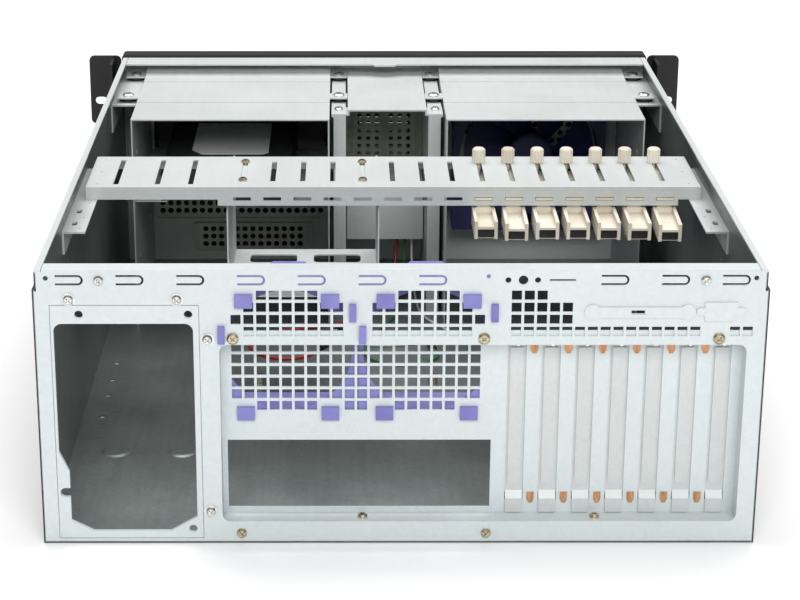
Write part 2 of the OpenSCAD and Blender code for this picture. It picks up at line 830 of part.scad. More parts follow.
// Rear fan holder, centred on the fan axis
module fan_holder() {
    half = holder_w / 2;
    difference() {
        slab([-half, holder_y, -half], [half, holder_y + holder_d, half]);
        slab([-half + holder_t, holder_y + holder_t, -half + holder_t],
             [half - holder_t, holder_y + holder_d + cut, half - holder_t]);
        translate([0, holder_y - cut, 0]) rotate([-90, 0, 0])
            cylinder(r = half * fan_ring_share, h = holder_t + 2 * cut);
    }
    // Thumb tab on top, at the front edge
    sheet_xz(holder_y + holder_d - thumb_t, thumb_t)
        round_rect([-thumb_w / 2, half - holder_t], [thumb_w / 2, half + thumb_h], thumb_h / 2);
    // Hooks through the rear panel above and the tray below
    for (s = [-1, 1]) {
        hook(s * hook_x, half - hook_h / 2, 0, hook_w, hook_h, -1);
        hook(s * hook_x, -half + hook_h / 2, tray_y, hook_w, hook_h, -1);
    }
    hook(-tab_x, tab_low, 0, tab_w, tab_h, 0);
    hook(tab_x, tab_high, 0, tab_w, tab_h, 0);
}

// Hook arm that passes a slot whose outer face is at y, with a lip outside
module hook(x, z, y, w, h, side) {
    inset = 2 * seam;
    slab([x - w / 2 + inset, y - hook_lip + seam, z - h / 2 + inset], [x + w / 2 - inset, holder_y + holder_t, z + h / 2 - inset]);
    slab([x - w / 2, y - hook_lip, z - h / 2], [x + w / 2, y, z + h / 2]);
    if (side < 0) slab([x - w / 2, y - hook_lip, z - h / 2 - lip_down], [x + w / 2, y - hook_lip / 2, z]);
}
lip_down = 2.6;

module rear_fan_holder_left() color([0.45, 0.44, 0.75]) from_rear()
    translate([holder_x1, 0, holder_z]) fan_holder();

module rear_fan_holder_right() color([0.45, 0.44, 0.75]) from_rear()
    translate([holder_x1 + holder_pitch, 0, holder_z]) fan_holder();

function bar_slot_x(i) = slot_x1 - retainer_shift + (i - 8) * slot_pitch;

module card_bar() color([0.85, 0.88, 0.89]) from_rear() difference() {
    union() {
        slab([-bar_x, bar_y, bar_z - sheet_t], [bar_x, bar_y + bar_d, bar_z]);
        slab([-bar_x, bar_y, shelf_z], [bar_x, bar_y + sheet_t, bar_z]);
        slab([bar_step_x, bar_y, bar_z - bar_flange], [bar_x - shelf_w, bar_y + sheet_t, bar_z]);
        slab([-bar_x, bar_y + bar_d - sheet_t, shelf_z], [bar_x, bar_y + bar_d, bar_z]);
    }
    sheet_xy(bar_z - sheet_t - cut, sheet_t + 2 * cut) {
        for (i = [0:bar_slots - 1]) rect([bar_slot_x(i) - bar_slot_w / 2, bar_y + bar_slot_y.x],
            [bar_slot_x(i) + bar_slot_w / 2, bar_y + bar_slot_y.y]);
        for (x = long_slots) rect([-half_w + x - bar_slot_w / 2, bar_y + long_slot_y.x],
            [-half_w + x + bar_slot_w / 2, bar_y + long_slot_y.y]);
        for (s = [-1, 1], y = [-1, 0, 1]) translate([s * (bar_x - bar_hole_in), bar_y + bar_d / 2 + y * bar_hole_y])
            circle(screw_r / 2);
    }
    for (i = [0:bar_slots - 1]) slab([bar_slot_x(i) - dash_w / 2, bar_y - cut, dash_z - dash_h / 2],
        [bar_slot_x(i) + dash_w / 2, bar_y + sheet_t + cut, dash_z + dash_h / 2]);
}

bar_hole_in = 7;
bar_hole_y = 29;

// Angle bracket on each side wall that carries the bar
module bar_brackets() color([0.80, 0.83, 0.84]) from_rear() mirror_pair() difference() {
    union() {
        slab([-wall_in, bar_y - shelf_back, shelf_z - sheet_t], [-wall_in + shelf_w, bar_y + bar_d, shelf_z]);
        slab([-wall_in, bar_y - shelf_back, shelf_z - sheet_t - shelf_up * 2],
             [-wall_in + sheet_t, bar_y + bar_d, shelf_z]);
    }
    sheet_xy(shelf_z - sheet_t - cut, sheet_t + 2 * cut) {
        for (y = shelf_slots_y) translate([-wall_in + shelf_slot_in, bar_y - shelf_back + y])
            stadium(cage_slot_l, bar_slot_w, 90);
        for (y = shelf_holes_y) translate([-wall_in + shelf_hole_in, bar_y - shelf_back + y]) circle(screw_r / 2);
    }
}
shelf_slots_y = [18, 44];
shelf_slot_in = 6;
shelf_holes_y = [7, 31, 62];
shelf_hole_in = 10.5;

// Card retainer, drawn at its pivot: y and z from the slot in the bar's flange
module card_retainer(i) color([0.93, 0.91, 0.85]) from_rear()
    translate([bar_slot_x(i + 7), pivot_y, dash_z]) rotate([rest_tilt[i - 1], 0, 0]) retainer_arm();

module retainer_arm() {
    top = dash_drop - arm_top;
    low = dash_drop - arm_low;
    web = top - arm_web_drop;
    back = -retainer_reach;
    difference() {
        union() {
            // Channel behind the bar
            slab([-retainer_w / 2, back, low], [retainer_w / 2, arm_clear + arm_beam, top]);
            // Riser inside the bar and the tab through its slot
            slab([-arm_beam_w / 2, arm_clear, web - arm_web], [arm_beam_w / 2, arm_clear + arm_beam, tab_half]);
            slab([-dash_w / 2 + play, -tab_out, -tab_half], [dash_w / 2 - play, arm_clear + arm_beam, tab_half]);
            // Beam to the knob
            slab([-arm_beam_w / 2, arm_clear, -arm_beam], [arm_beam_w / 2, knob_y - pivot_y, 0]);
            translate([0, knob_y - pivot_y, -boss_h]) cylinder(r = boss_r, h = boss_h);
        }
        slab([-retainer_w / 2 + arm_wall, back - cut, web], [retainer_w / 2 - arm_wall, arm_clear, top + cut]);
        slab([-retainer_w / 2 + arm_wall, back - cut, low - cut],
             [retainer_w / 2 - arm_wall, arm_clear + arm_beam + cut, web - arm_web]);
        translate([0, knob_y - pivot_y, -boss_h - cut]) cylinder(r = stem_r + stem_gap, h = boss_h + 2 * cut);
    }
    // Dark pad between the legs
    slab([-retainer_w / 2 + arm_wall, back + sheet_t, low + play], [retainer_w / 2 - arm_wall, back + pad_deep, web - arm_web]);
}
tab_half = 0.7;
tab_out = 1.4;

module card_retainer_1() card_retainer(1);
module card_retainer_2() card_retainer(2);
module card_retainer_3() card_retainer(3);
module card_retainer_4() card_retainer(4);
module card_retainer_5() card_retainer(5);
module card_retainer_6() card_retainer(6);
module card_retainer_7() card_retainer(7);

// Thumb knob above the bar with its stem down through the slot
module retainer_knob(i) color([0.92, 0.90, 0.84]) from_rear() translate([bar_slot_x(i + 7), knob_y, bar_z]) {
    r = knob_w / 2 - knob_rib_r / 2;
    rotate_extrude() polygon([
        [0, -stem_l], [stem_r, -stem_l], [stem_r, play / 2], [r, play / 2], [r, knob_h - knob_bevel],
        [r - knob_bevel, knob_h], [0, knob_h]
    ]);
    for (k = [0:knob_ribs - 1]) rotate(k * 360 / knob_ribs) translate([r - knob_rib_r / 2, 0, play])
        cylinder(r = knob_rib_r, h = knob_h - knob_bevel - 2 * play);
}

module retainer_knob_1() retainer_knob(1);
module retainer_knob_2() retainer_knob(2);
module retainer_knob_3() retainer_knob(3);
module retainer_knob_4() retainer_knob(4);
module retainer_knob_5() retainer_knob(5);
module retainer_knob_6() retainer_knob(6);
module retainer_knob_7() retainer_knob(7);

// Bracket for small drives that hangs under the bar
module hdd_bracket() color([0.79, 0.82, 0.84]) from_rear() translate([hang_left, hang_y, bar_z - sheet_t - bracket_h]) {
    // Beyond the bar the sides stay under its front flange
    low = bracket_h - bar_short + sheet_t - play;
    window_w = (bracket_w - 3 * hang_strip) / 2;
    window_d = (bracket_d - (hang_rows + 1) * hang_strip) / hang_rows;
    difference() {
        union() {
            for (x = [0, bracket_w - cage_t]) sheet_yz(x, cage_t) polygon([
                [0, 0], [bracket_d, 0], [bracket_d, low], [hang_lip_d, low], [hang_lip_d, bracket_h], [0, bracket_h]
            ]);
            slab([0, 0, 0], [bracket_w, bracket_d, cage_t]);
            for (x = [0, bracket_w - hang_lip])
                slab([x, 0, bracket_h - cage_t], [x + hang_lip, hang_lip_d, bracket_h]);
        }
        sheet_xy(-cut, cage_t + 2 * cut) for (c = [0, 1], r = [0:hang_rows - 1]) {
            x = hang_strip + c * (window_w + hang_strip);
            y = hang_strip + r * (window_d + hang_strip);
            round_rect([x, y], [x + window_w, y + window_d], hang_window_r);
        }
        for (y = [hang_hole_y, bracket_d - hang_hole_y], z = hang_hole_z) translate([-cut, y, z]) rotate([0, 90, 0])
            cylinder(r = cage_hole_r, h = bracket_w + 2 * cut);
        for (x = [0, 4 * slot_pitch], k = [0, 1])
            translate([hang_screw_in + x, bar_slot_y[k] + bar_screw_in[k] - hang_in, bracket_h - cage_t - cut])
                cylinder(r = screw_hole_r, h = cage_t + 2 * cut);
    }
}

// Small drive on the left cage's shelf, with a bare label
module storage_drive() color([0.16, 0.16, 0.17]) from_rear() translate([drive_x, cage_front - drive_d, drive_z]) {
    half = drive_w / 2;
    difference() {
        slab([-half, 0, 0], [half, drive_d, drive_h - drive_lid]);
        for (x = [-half, half - drive_rail]) slab([x - cut, -cut, drive_h - drive_edge],
            [x + drive_rail + cut, drive_d + cut, drive_h]);
    }
    sheet_xy(drive_h - drive_lid - label_t, drive_lid)
        round_rect([-half + drive_plate[0], drive_plate[1]],
                   [half - drive_plate[0], drive_d - drive_plate[2]], drive_plate[3]);
    sheet_xy(drive_h - 2 * label_t, 2 * label_t) polygon([
        [-label_w / 2, label_y + label_nick[2]], [-label_w / 2 + label_nick[0], label_y],
        [label_w / 2 - label_nick[1], label_y], [label_w / 2, label_y + label_nick[1]],
        [label_w / 2, label_y + label_d], [-label_w / 2, label_y + label_d]
    ]);
}

// Drive cage with its outer wall on the far side from the middle, drawn on the right
module drive_cage() difference() {
    union() {
        slab([cage_in, cage_y, sheet_t], [cage_in + cage_t, cage_front, cage_z]);
        slab([cage_out - cage_t, cage_y, sheet_t], [cage_out, cage_front, cage_z]);
        slab([cage_in, cage_y, cage_z - cage_t], [cage_out, cage_front, cage_z]);
        for (k = [0, 1]) slab([cage_in, cage_y + top_bends[k], cage_z - cage_t],
            [cage_out, cage_front, cage_z + (k + 1) * top_step]);
        // Band that rises to the lip of the steel front
        sheet_yz(cage_in, cage_w) polygon([
            [cage_front - band_d, cage_z], [cage_front - band_d, cage_z + 2 * top_step],
            [cage_front - cage_t, cage_z + band_rise], [cage_front, cage_z + band_rise], [cage_front, cage_z]
        ]);
        for (y = ear_y) {
            slab([bridge_half + play, y - cage_ear_l / 2, cage_z - cage_t], [cage_in + cage_t, y + cage_ear_l / 2, cage_z]);
            slab([cage_out - cage_t, y - cage_ear_l / 2, cage_z - cage_t], [cage_out + cage_ear, y + cage_ear_l / 2, cage_z]);
        }
    }
    // The band is hollow from below
    sheet_yz(cage_in - cut, cage_w + 2 * cut) polygon([
        [cage_front - band_d + cage_t, cage_z], [cage_front - cage_t, cage_z + band_rise - cage_t],
        [cage_front + cut, cage_z + band_rise - cage_t], [cage_front + cut, cage_z]
    ]);
    for (x = [inner_screw_x, outer_screw_x], y = ear_y) translate([x, y, cage_z - cage_t - cut])
        cylinder(r = screw_hole_r, h = cage_t + 2 * cut);
    for (b = [0:bay_count - 1], y = rail_holes_y) translate([cage_in - cut, cage_y + y, bay_z + b * bay_h + rail_hole_z])
        rotate([0, 90, 0]) cylinder(r = cage_hole_r, h = cage_w + 2 * cut);
}
top_step = 0.5;
top_bends = [50, 113];
band_d = 27;
band_rise = 5;
rail_holes_y = [30, 79, 128];
rail_hole_z = 12;

// Shelf edges under the fitted drive
module shelf_rails() {
    slab([-cage_out + cage_t, cage_front - drive_d, drive_z - cage_t],
         [drive_x - drive_w / 2 + shelf_in, cage_front, drive_z]);
    slab([drive_x + drive_w / 2 - shelf_in, cage_front - drive_d, drive_z - cage_t],
         [-cage_in - cage_t, cage_front, drive_z]);
}
shelf_in = 4.8;

module drive_cage_left() color([0.84, 0.87, 0.88]) from_rear() {
    mirror([1, 0, 0]) drive_cage();
    shelf_rails();
}

module drive_cage_right() color([0.84, 0.87, 0.88]) from_rear() drive_cage();

// Angle on each side wall under the cage ears
module cage_rails() color([0.80, 0.83, 0.84]) from_rear() mirror_pair() difference() {
    union() {
        slab([cage_out + rail_clear, rail_y, rail_z - sheet_t], [wall_in, cage_front, rail_z]);
        slab([wall_in - sheet_t, rail_y, rail_z - rail_h], [wall_in, cage_front, rail_z]);
    }
    for (y = ear_y) translate([outer_screw_x, y, rail_z - sheet_t - cut])
        cylinder(r = screw_hole_r, h = sheet_t + 2 * cut);
}
rail_h = 22;
rail_clear = 1;

// Upright on each side of the middle bay
module centre_uprights() color([0.78, 0.81, 0.83]) from_rear() mirror_pair() difference() {
    union() {
        slab([upright_x, upright_y, sheet_t], [upright_x + upright_w, upright_y + sheet_t, rail_z]);
        slab([upright_x, upright_y, sheet_t], [upright_x + sheet_t, cage_front, rail_z]);
        slab([upright_x, upright_y, rail_z - sheet_t], [upright_x + upright_flange, cage_front, rail_z]);
    }
    translate([upright_x + upright_w / 2, upright_y - cut, rail_z - upright_hole_drop]) rotate([-90, 0, 0])
        cylinder(r = screw_r, h = sheet_t + 2 * cut);
    for (y = concat(ear_y, [bridge_screw_y])) translate([inner_screw_x, y, rail_z - sheet_t - cut])
        cylinder(r = screw_hole_r, h = sheet_t + 2 * cut);
}

upright_hole_drop = 38;

// Plate across the uprights
module centre_bridge() color([0.83, 0.86, 0.87]) from_rear() difference() {
    union() {
        slab([-bridge_half, upright_y, bridge_z - sheet_t], [bridge_half, cage_front, bridge_z]);
        mirror_pair() {
            slab([bridge_half - sheet_t, upright_y, rail_z + sheet_t], [bridge_half, cage_front, bridge_z]);
            slab([bridge_half - sheet_t, upright_y, rail_z],
                 [upright_x + upright_flange, bridge_screw_y + bridge_foot, rail_z + sheet_t]);
        }
    }
    for (s = [-1, 1]) translate([s * inner_screw_x, bridge_screw_y, rail_z - cut])
        cylinder(r = screw_hole_r, h = sheet_t + 2 * cut);
}

// Sheet housing of the switch board, between the uprights
module control_box() color([0.70, 0.73, 0.75]) from_rear() difference() {
    slab([-box_w / 2, box_y, box_z], [box_w / 2, cage_front, box_z + box_h]);
    slab([-box_w / 2 + sheet_t, box_y + sheet_t, box_z + sheet_t],
         [box_w / 2 - sheet_t, cage_front + cut, box_z + box_h - sheet_t]);
    for (x = lead_x) translate([x, box_y + lead_in, box_z - cut]) cylinder(r = lead_gland, h = sheet_t + 2 * cut);
}
lead_x = [10, 16, 22];
lead_in = 12;
lead_gland = 1.2;

// Two panels of round holes at the front of the middle bay
module centre_vent_panel() color([0.45, 0.46, 0.44]) from_rear() mirror_pair() difference() {
    union() {
        slab([-seam, cage_front - sheet_t, vent_low + vent_foot], [upright_x - seam, cage_front, vent_top]);
        slab([vent_slit, cage_front - vent_deep, vent_low + vent_foot + sheet_t], [vent_w / 2, cage_front, vent_top]);
    }
    slab([vent_slit + sheet_t, cage_front - vent_deep - cut, vent_low + vent_foot + 2 * sheet_t],
         [vent_w / 2 - sheet_t, cage_front - sheet_t, vent_top + cut]);
    for (c = [-1, 0, 1], z = [vent_low + vent_in:vent_line:vent_top - vent_line])
        translate([vent_w / 4 + c * vent_col, cage_front + cut, z]) rotate([90, 0, 0])
            cylinder(r = vent_r, h = vent_deep + 2 * cut);
}
vent_deep = 4;
vent_slit = 1.6;
vent_foot = 2;
vent_in = 8;

// Perforated blanks behind the left bays
module blank(w, h, rows) difference() {
    columns = floor((w / 2 - blank_edge) / blank_pitch);
    union() {
        sheet_xz(0, cage_t) round_rect([-w / 2, 0], [w / 2, h], blank_r);
        sheet_xz(-blank_lip, blank_lip + cage_t / 2) difference() {
            round_rect([-w / 2, 0], [w / 2, h], blank_r);
            round_rect([-w / 2 + cage_t, cage_t], [w / 2 - cage_t, h - cage_t], blank_r - cage_t);
        }
    }
    for (c = [-columns:columns], r = [0:rows - 1])
        translate([c * blank_pitch, cage_t + cut, h / 2 + (r - (rows - 1) / 2) * blank_pitch])
            rotate([90, 0, 0]) cylinder(r = dot_r, h = cage_t + blank_lip + 2 * cut);
}
blank_pitch = 6.6;
blank_edge = 5;
blank_r = 4;

module bay_blanks() color([0.42, 0.43, 0.41]) from_rear() {
    translate([bay_x, front_in - cage_t, bay_z + seam]) blank(bay_w - 2 * seam, bay_h - 2 * seam, 5);
    translate([small_bay_x, front_in - cage_t, small_bay_z + seam]) blank(small_bay_w - 2 * seam, small_bay_h - 2 * seam, 3);
}

// Steel front with its bays, fan grille and top lip
module front_panel() color([0.80, 0.83, 0.84]) from_rear() {
    difference() {
        sheet_xz(front_in, sheet_t) panel_outline();
        sheet_xz(front_in - cut, sheet_t + 2 * cut) {
            rect([bay_x - bay_w / 2 + bay_land, bay_z + bay_land],
                 [bay_x + bay_w / 2 - bay_land, bay_z + bay_count * bay_h - bay_land]);
            rect([small_bay_x - small_bay_w / 2 + bay_land, small_bay_z + bay_land],
                 [small_bay_x + small_bay_w / 2 - bay_land, small_bay_z + small_bay_h - bay_land]);
            translate([fan_x, fan_z]) for (c = [-8:8], r = [-8:8]) if (norm([c, r]) * dot_pitch < rotor_r)
                translate([c * dot_pitch, r * dot_pitch]) circle(dot_r);
            rect([-vent_w / 2 + vent_land, vent_low + vent_foot + vent_land], [vent_w / 2 - vent_land, vent_top - vent_land]);
            translate([0, button_z]) circle(power_w / 2);
            translate([0, reset_z]) circle(reset_w / 2);
            for (s = [-1, 1]) translate([s * lens_x, lens_z]) circle(lens_r + seam);
        }
    }
    sheet_xy(body_h - sheet_t, sheet_t) {
        rect([-lip_x, body_d - lip_d], [lip_x, body_d - sheet_t / 2]);
        polygon([
            [-lip_tab.y, body_d - lip_d + seam], [-lip_tab.x, body_d - lip_d - lip_tab.z],
            [lip_tab.x, body_d - lip_d - lip_tab.z], [lip_tab.y, body_d - lip_d + seam]
        ]);
    }
}
bay_land = 1.5;
vent_land = 4;

// Holder around the front fan
module front_fan_bracket() color([0.22, 0.21, 0.45]) from_rear() translate([fan_x, 0, fan_z]) {
    half = fan_w / 2 + fan_fit;
    out = fan_out;
    difference() {
        slab([-out, fan_y - holder_t, -out], [out, front_in, out]);
        slab([-half, fan_y, -half], [half, front_in + cut, half]);
        translate([0, fan_y - holder_t - cut, 0]) rotate([-90, 0, 0]) cylinder(r = rotor_r + ring_more, h = holder_t + 2 * cut);
    }
    // Feet to the cage walls
    mirror_pair() for (s = [-1, 1]) slab([out - seam, fan_y, s * foot_z - foot_h / 2],
        [cage_w / 2 - cage_t, fan_y + holder_t * 2, s * foot_z + foot_h / 2]);
}
foot_z = 40;
foot_h = 12;
ring_more = 2;
fan_y = front_in - fan_d - 2 * play;

module front_fan_frame() color([0.10, 0.10, 0.16]) from_rear() translate([fan_x, fan_y + play, fan_z]) {
    difference() {
        slab([-fan_w / 2, 0, -fan_w / 2], [fan_w / 2, fan_d, fan_w / 2]);
        translate([0, -cut, 0]) rotate([-90, 0, 0]) cylinder(r = rotor_r + ring_more - fan_fit, h = fan_d + 2 * cut);
        for (x = [-1, 1], z = [-1, 1]) translate([x * fan_hole, -cut, z * fan_hole]) rotate([-90, 0, 0])
            cylinder(r = fan_hole_r, h = fan_d + 2 * cut);
    }
    // Motor seat with its arms, at the front of the fan
    translate([0, fan_d - seat_t, 0]) rotate([-90, 0, 0]) cylinder(r = hub_r, h = seat_t);
    for (a = [0:90:270]) translate([0, fan_d - seat_t, 0]) rotate([0, a + 45, 0])
        slab([hub_r - arm_t, arm_inset, -arm_t], [rotor_r + arm_more, seat_t - arm_inset, arm_t]);
    // Shaft
    translate([0, fan_d - seat_t - shaft_l, 0]) rotate([-90, 0, 0]) cylinder(r = shaft_r, h = shaft_l + seat_t / 2);
}
fan_hole = 52.5;
fan_hole_r = 2.15;
seat_t = 3;
arm_inset = 0.4;
arm_more = 3;
hub_r = 18.5;
shaft_r = 1.5;
shaft_l = 10;
blade_count = 7;
blade_t = 1.6;
blade_half = 9;
blade_lean = 50;
blade_in = 1;
blade_clear = 0.6;
hub_in = 1.2;

// Rotor with leaning blades around its hub
module front_fan_rotor() color([0.14, 0.14, 0.36]) from_rear() translate([fan_x, fan_y + play, fan_z]) {
    difference() {
        translate([0, hub_in, 0]) rotate([-90, 0, 0]) cylinder(r = hub_r, h = fan_d - seat_t - hub_in - 2 * play);
        translate([0, fan_d - seat_t - shaft_l - play, 0]) rotate([-90, 0, 0])
            cylinder(r = shaft_r + run_gap, h = shaft_l + play + cut);
    }
    for (k = [0:blade_count - 1]) rotate([0, k * 360 / blade_count, 0])
        translate([hub_r - blade_in, fan_d / 2 - blade_in, 0]) rotate([blade_lean, 0, 0])
            slab([0, -blade_half, -blade_t / 2], [rotor_r - hub_r - blade_clear, blade_half, blade_t / 2]);
}

// Bezel frame with its bay openings, door well and button holes
module front_bezel() color([0.07, 0.07, 0.08]) from_rear() difference() {
    sheet_xz(bezel_y, bezel_d) round_rect([-half_w, bezel_foot], [half_w, bezel_z], bezel_t);
    // Hollow from behind
    slab([-half_w + bezel_t, bezel_y - cut, bezel_foot + bezel_t], [half_w - bezel_t, bezel_y + well_y, bezel_z - bezel_t - bezel_foot]);
    sheet_xz(bezel_y - cut, bezel_d + 2 * cut) {
        rect([bay_x - bay_w / 2, bay_z], [bay_x + bay_w / 2, bay_z + bay_count * bay_h]);
        rect([small_bay_x - small_bay_w / 2, small_bay_z], [small_bay_x + small_bay_w / 2, small_bay_z + small_bay_h]);
        rect([door_x1 + ledge_w, door_low + ledge_w], [door_x2 - ledge_w, door_high - ledge_w]);
        translate([0, button_z]) circle(power_w / 2 + play);
        translate([0, reset_z]) circle(reset_w / 2 + play);
        for (s = [-1, 1]) translate([s * lens_x, lens_z]) circle(lens_r + run_gap);
        for (z = [vent_top - slit_pitch:-slit_pitch:button_z + power_w])
            rect([-slit_half, z - slit_h / 2], [slit_half, z + slit_h / 2]);
    }
    // Well of the door and the bores of its pins
    slab([door_x1, door_y - door_gap, door_low], [door_x2, bezel_front + cut, door_high]);
    translate([axis_x, axis_y, door_low - hinge_pin_l - cut])
        cylinder(r = hinge_pin / 2 + run_gap, h = door_high - door_low + 2 * (hinge_pin_l + cut));
}
slit_pitch = 5;
slit_half = 20;
slit_h = 2.4;
bezel_foot = 2;
well_land = 2;
well_y = bezel_d - door_t - door_gap - well_land;

// Snap-in covers of the bays
module bay_covers() color([0.09, 0.09, 0.10]) from_rear() {
    for (b = [0:bay_count - 1]) bay_cover(bay_x, bay_w, bay_z + b * bay_h, bay_h);
    bay_cover(small_bay_x, small_bay_w, small_bay_z, small_bay_h);
}

module bay_cover(x, w, z, h) {
    slab([x - w / 2 + seam, bezel_front - face_t, z + seam], [x + w / 2 - seam, bezel_front, z + h - seam]);
    for (s = [-1, 1]) translate([x + s * (w / 2 - snap_in), 0, z + h / 2])
        slab([-snap_t / 2, bezel_y + snap_t / 2, -snap_w / 2], [snap_t / 2, bezel_front - face_t / 2, snap_w / 2]);
}
face_t = 4;
snap_in = 3;
snap_t = 2;
snap_w = 10;

// Door with vertical louvres, a round hinge edge and two pins
module front_door() color([0.08, 0.08, 0.09]) from_rear() {
    difference() {
        union() {
            slab([door_x1 + door_gap, door_y, door_low + door_gap], [axis_x, bezel_front, door_high - door_gap]);
            translate([axis_x, axis_y, door_low + door_gap])
                cylinder(r = door_t / 2, h = door_high - door_low - 2 * door_gap);
        }
        for (x = [door_x1 + louvre_in.x:louvre_pitch:axis_x - louvre_in.y])
            for (z = [[door_low + louvre_edge, lock_z - louvre_rib], [lock_z + louvre_rib, door_high - louvre_edge]])
                slab([x, door_y - cut, z.x], [x + louvre_w, bezel_front + cut, z.y]);
        translate([lock_x, door_y - cut, lock_z]) rotate([-90, 0, 0]) cylinder(r = lock_r + play, h = door_t + 2 * cut);
    }
    for (z = [door_low - hinge_pin_l, door_high - door_gap - pin_in])
        translate([axis_x, axis_y, z]) cylinder(r = hinge_pin / 2, h = hinge_pin_l + door_gap + pin_in);
}
louvre_in = [30, 14];
louvre_edge = 10;
louvre_rib = 4;
pin_in = 1;

// Lock barrel, with its cam plate on the barrel's inner end
module door_lock() color([0.75, 0.76, 0.78]) from_rear() translate([lock_x, 0, lock_z]) {
    difference() {
        translate([0, cam_y + cam_t + run_gap, 0]) rotate([-90, 0, 0])
            cylinder(r = lock_r, h = bezel_front - cam_y - cam_t - run_gap + play);
        slab([-key_t / 2, bezel_front - key_w / 2, -key_w / 2], [key_t / 2, bezel_front + cut, key_w / 2]);
    }
    slab([-cam_w / 2, cam_y, -lock_r / 2], [cam_w / 2, cam_y + cam_t, cam_l - lock_r]);
}
cam_y = bezel_y + well_y - play - cam_t;
key_t = 1.4;
key_w = 6;

// Foam filter clipped in behind the bezel
module dust_filter() color([0.13, 0.13, 0.14]) from_rear()
    slab([door_x1 + filter_in, bezel_y + play, door_low + filter_in],
         [door_x2 - filter_in, bezel_y + filter_t, door_high - filter_in]);
filter_in = 5;

// Button with a collar that keeps it behind the bezel
module button(w, z) translate([0, bezel_y + button_travel, z]) rotate([-90, 0, 0]) {
    cylinder(r = w / 2, h = bezel_d - button_travel + button_proud);
    cylinder(r = w / 2 + button_collar, h = well_y - button_travel - play);
}
button_proud = 1.2;
button_collar = 1.4;

module power_button() color([0.55, 0.56, 0.58]) from_rear() button(power_w - 2 * play, button_z);
module reset_button() color([0.50, 0.51, 0.53]) from_rear() button(reset_w - 2 * play, reset_z);

// Light lenses beside the buttons
module status_lenses() color([0.55, 0.75, 0.60]) from_rear() for (s = [-1, 1])
    translate([s * lens_x, bezel_front + lens_proud, lens_z]) rotate([90, 0, 0]) cylinder(r = lens_r, h = lens_l);
lens_proud = 0.4;
lens_l = 10.5;

// Rack ear, drawn on the right
module rack_ear() difference() {
    union() {
        for (z = [[0, ear_tab_h], [ear_h - ear_tab_h, ear_h]]) sheet_xz(body_d - ear_t, ear_t)
            round_rect([ear_x, z.x], [ear_out, z.y], ear_r);
        sheet_xz(body_d - ear_t, ear_t) rect([ear_x, ear_r], [ear_x + 2 * ear_r, ear_h - ear_r]);
        slab([ear_x, body_d - ear_leg, ear_leg_z], [ear_x + ear_t, body_d, body_h - ear_leg_z]);
        slab([ear_x + gusset_x, body_d - gusset_d, ear_h - ear_tab_h + gusset_t],
             [ear_x + gusset_x + gusset_t, body_d - ear_t / 2, body_h]);
    }
    sheet_xz(body_d - ear_t - cut, ear_t + 2 * cut) {
        for (s = [-1, 1]) translate([ear_out - rack_slot_in, ear_h / 2 + s * rack_pitch_z / 2])
            stadium(rack_slot_l, rack_slot_w);
        for (s = [-1, 1]) translate([handle_x, ear_h / 2 + s * handle_pitch / 2]) circle(screw_hole_r);
    }
    for (z = ear_screws_z) translate([ear_x - cut, body_d - ear_leg + ear_screw_in, z]) rotate([0, 90, 0])
        cylinder(r = screw_hole_r, h = ear_t + 2 * cut);
}
ear_screw_in = 10;
ear_screw_z = 30;
ear_screws_z = [ear_screw_z, body_h / 2, body_h - ear_screw_z];

module rack_ear_right() color([0.08, 0.08, 0.09]) from_rear() rack_ear();
module rack_ear_left() color([0.08, 0.08, 0.09]) from_rear() mirror([1, 0, 0]) rack_ear();

// Grab handle: two posts, two bends and a bar, drawn on the right
module grab_handle() translate([handle_x, body_d, ear_h / 2]) {
    straight = handle_reach - handle_bend;
    for (s = [-1, 1]) {
        translate([0, 0, s * handle_pitch / 2]) rotate([-90, 0, 0]) cylinder(r = handle_r, h = straight);
        translate([0, straight, s * (handle_pitch / 2 - handle_bend)]) rotate([0, -s * 90, 0])
            rotate_extrude(angle = 90) translate([handle_bend, 0]) circle(handle_r);
    }
    translate([0, handle_reach, -handle_pitch / 2 + handle_bend]) cylinder(r = handle_r, h = handle_pitch - 2 * handle_bend);
}

module grab_handle_right() color([0.10, 0.10, 0.11]) from_rear() grab_handle();
module grab_handle_left() color([0.10, 0.10, 0.11]) from_rear() mirror([1, 0, 0]) grab_handle();

// Threaded posts under the board
module board_standoffs() color([0.78, 0.68, 0.42]) from_rear()
    for (x = board_x, y = board_y) translate([x, y, sheet_t]) difference() {
        cylinder(r = standoff_r, h = standoff_h, $fn = 6);
        translate([0, 0, standoff_base]) cylinder(r = standoff_bore_r, h = standoff_h);
    }
standoff_r = 3.2;
standoff_base = 1;
board_in = [9.91, 12.5];
board_grid_x = [0, 124.46, 281.94];
board_grid_y = [0, 154.94, 227.33];
board_x = [for (x = board_grid_x) io_left + board_in.x + x];
board_y = [for (y = board_grid_y) tray_y + board_in.y + y];

// Silver screws: supply plate, top row and slot covers
module panel_screws() color([0.86, 0.87, 0.86]) from_rear() {
    for (p = psu_screws) rear_screw(p, ring = washer_r);
    for (x = top_screws_x) rear_screw([x, lance_z]);
    for (i = [0:slot_count - 1]) translate([slot_x1 + i * slot_pitch, tray_y / 2, ledge_z + cover_t]) screw();
}

// Brass screws: slot tray and drive bracket
module frame_screws() color([0.72, 0.62, 0.45]) from_rear() {
    for (x = frame_screws_x) rear_screw([x, frame_screw_z], head_r = wide_head_r);
    for (x = low_screws_x) rear_screw([x, low_screw_z]);
    for (x = floor_screws_x) translate([x, tray_y / 2, window_low]) screw();
    for (i = [0, 4], k = [0, 1]) translate([bar_slot_x(i), bar_y + bar_slot_y[k] + bar_screw_in[k], bar_z]) screw();
}

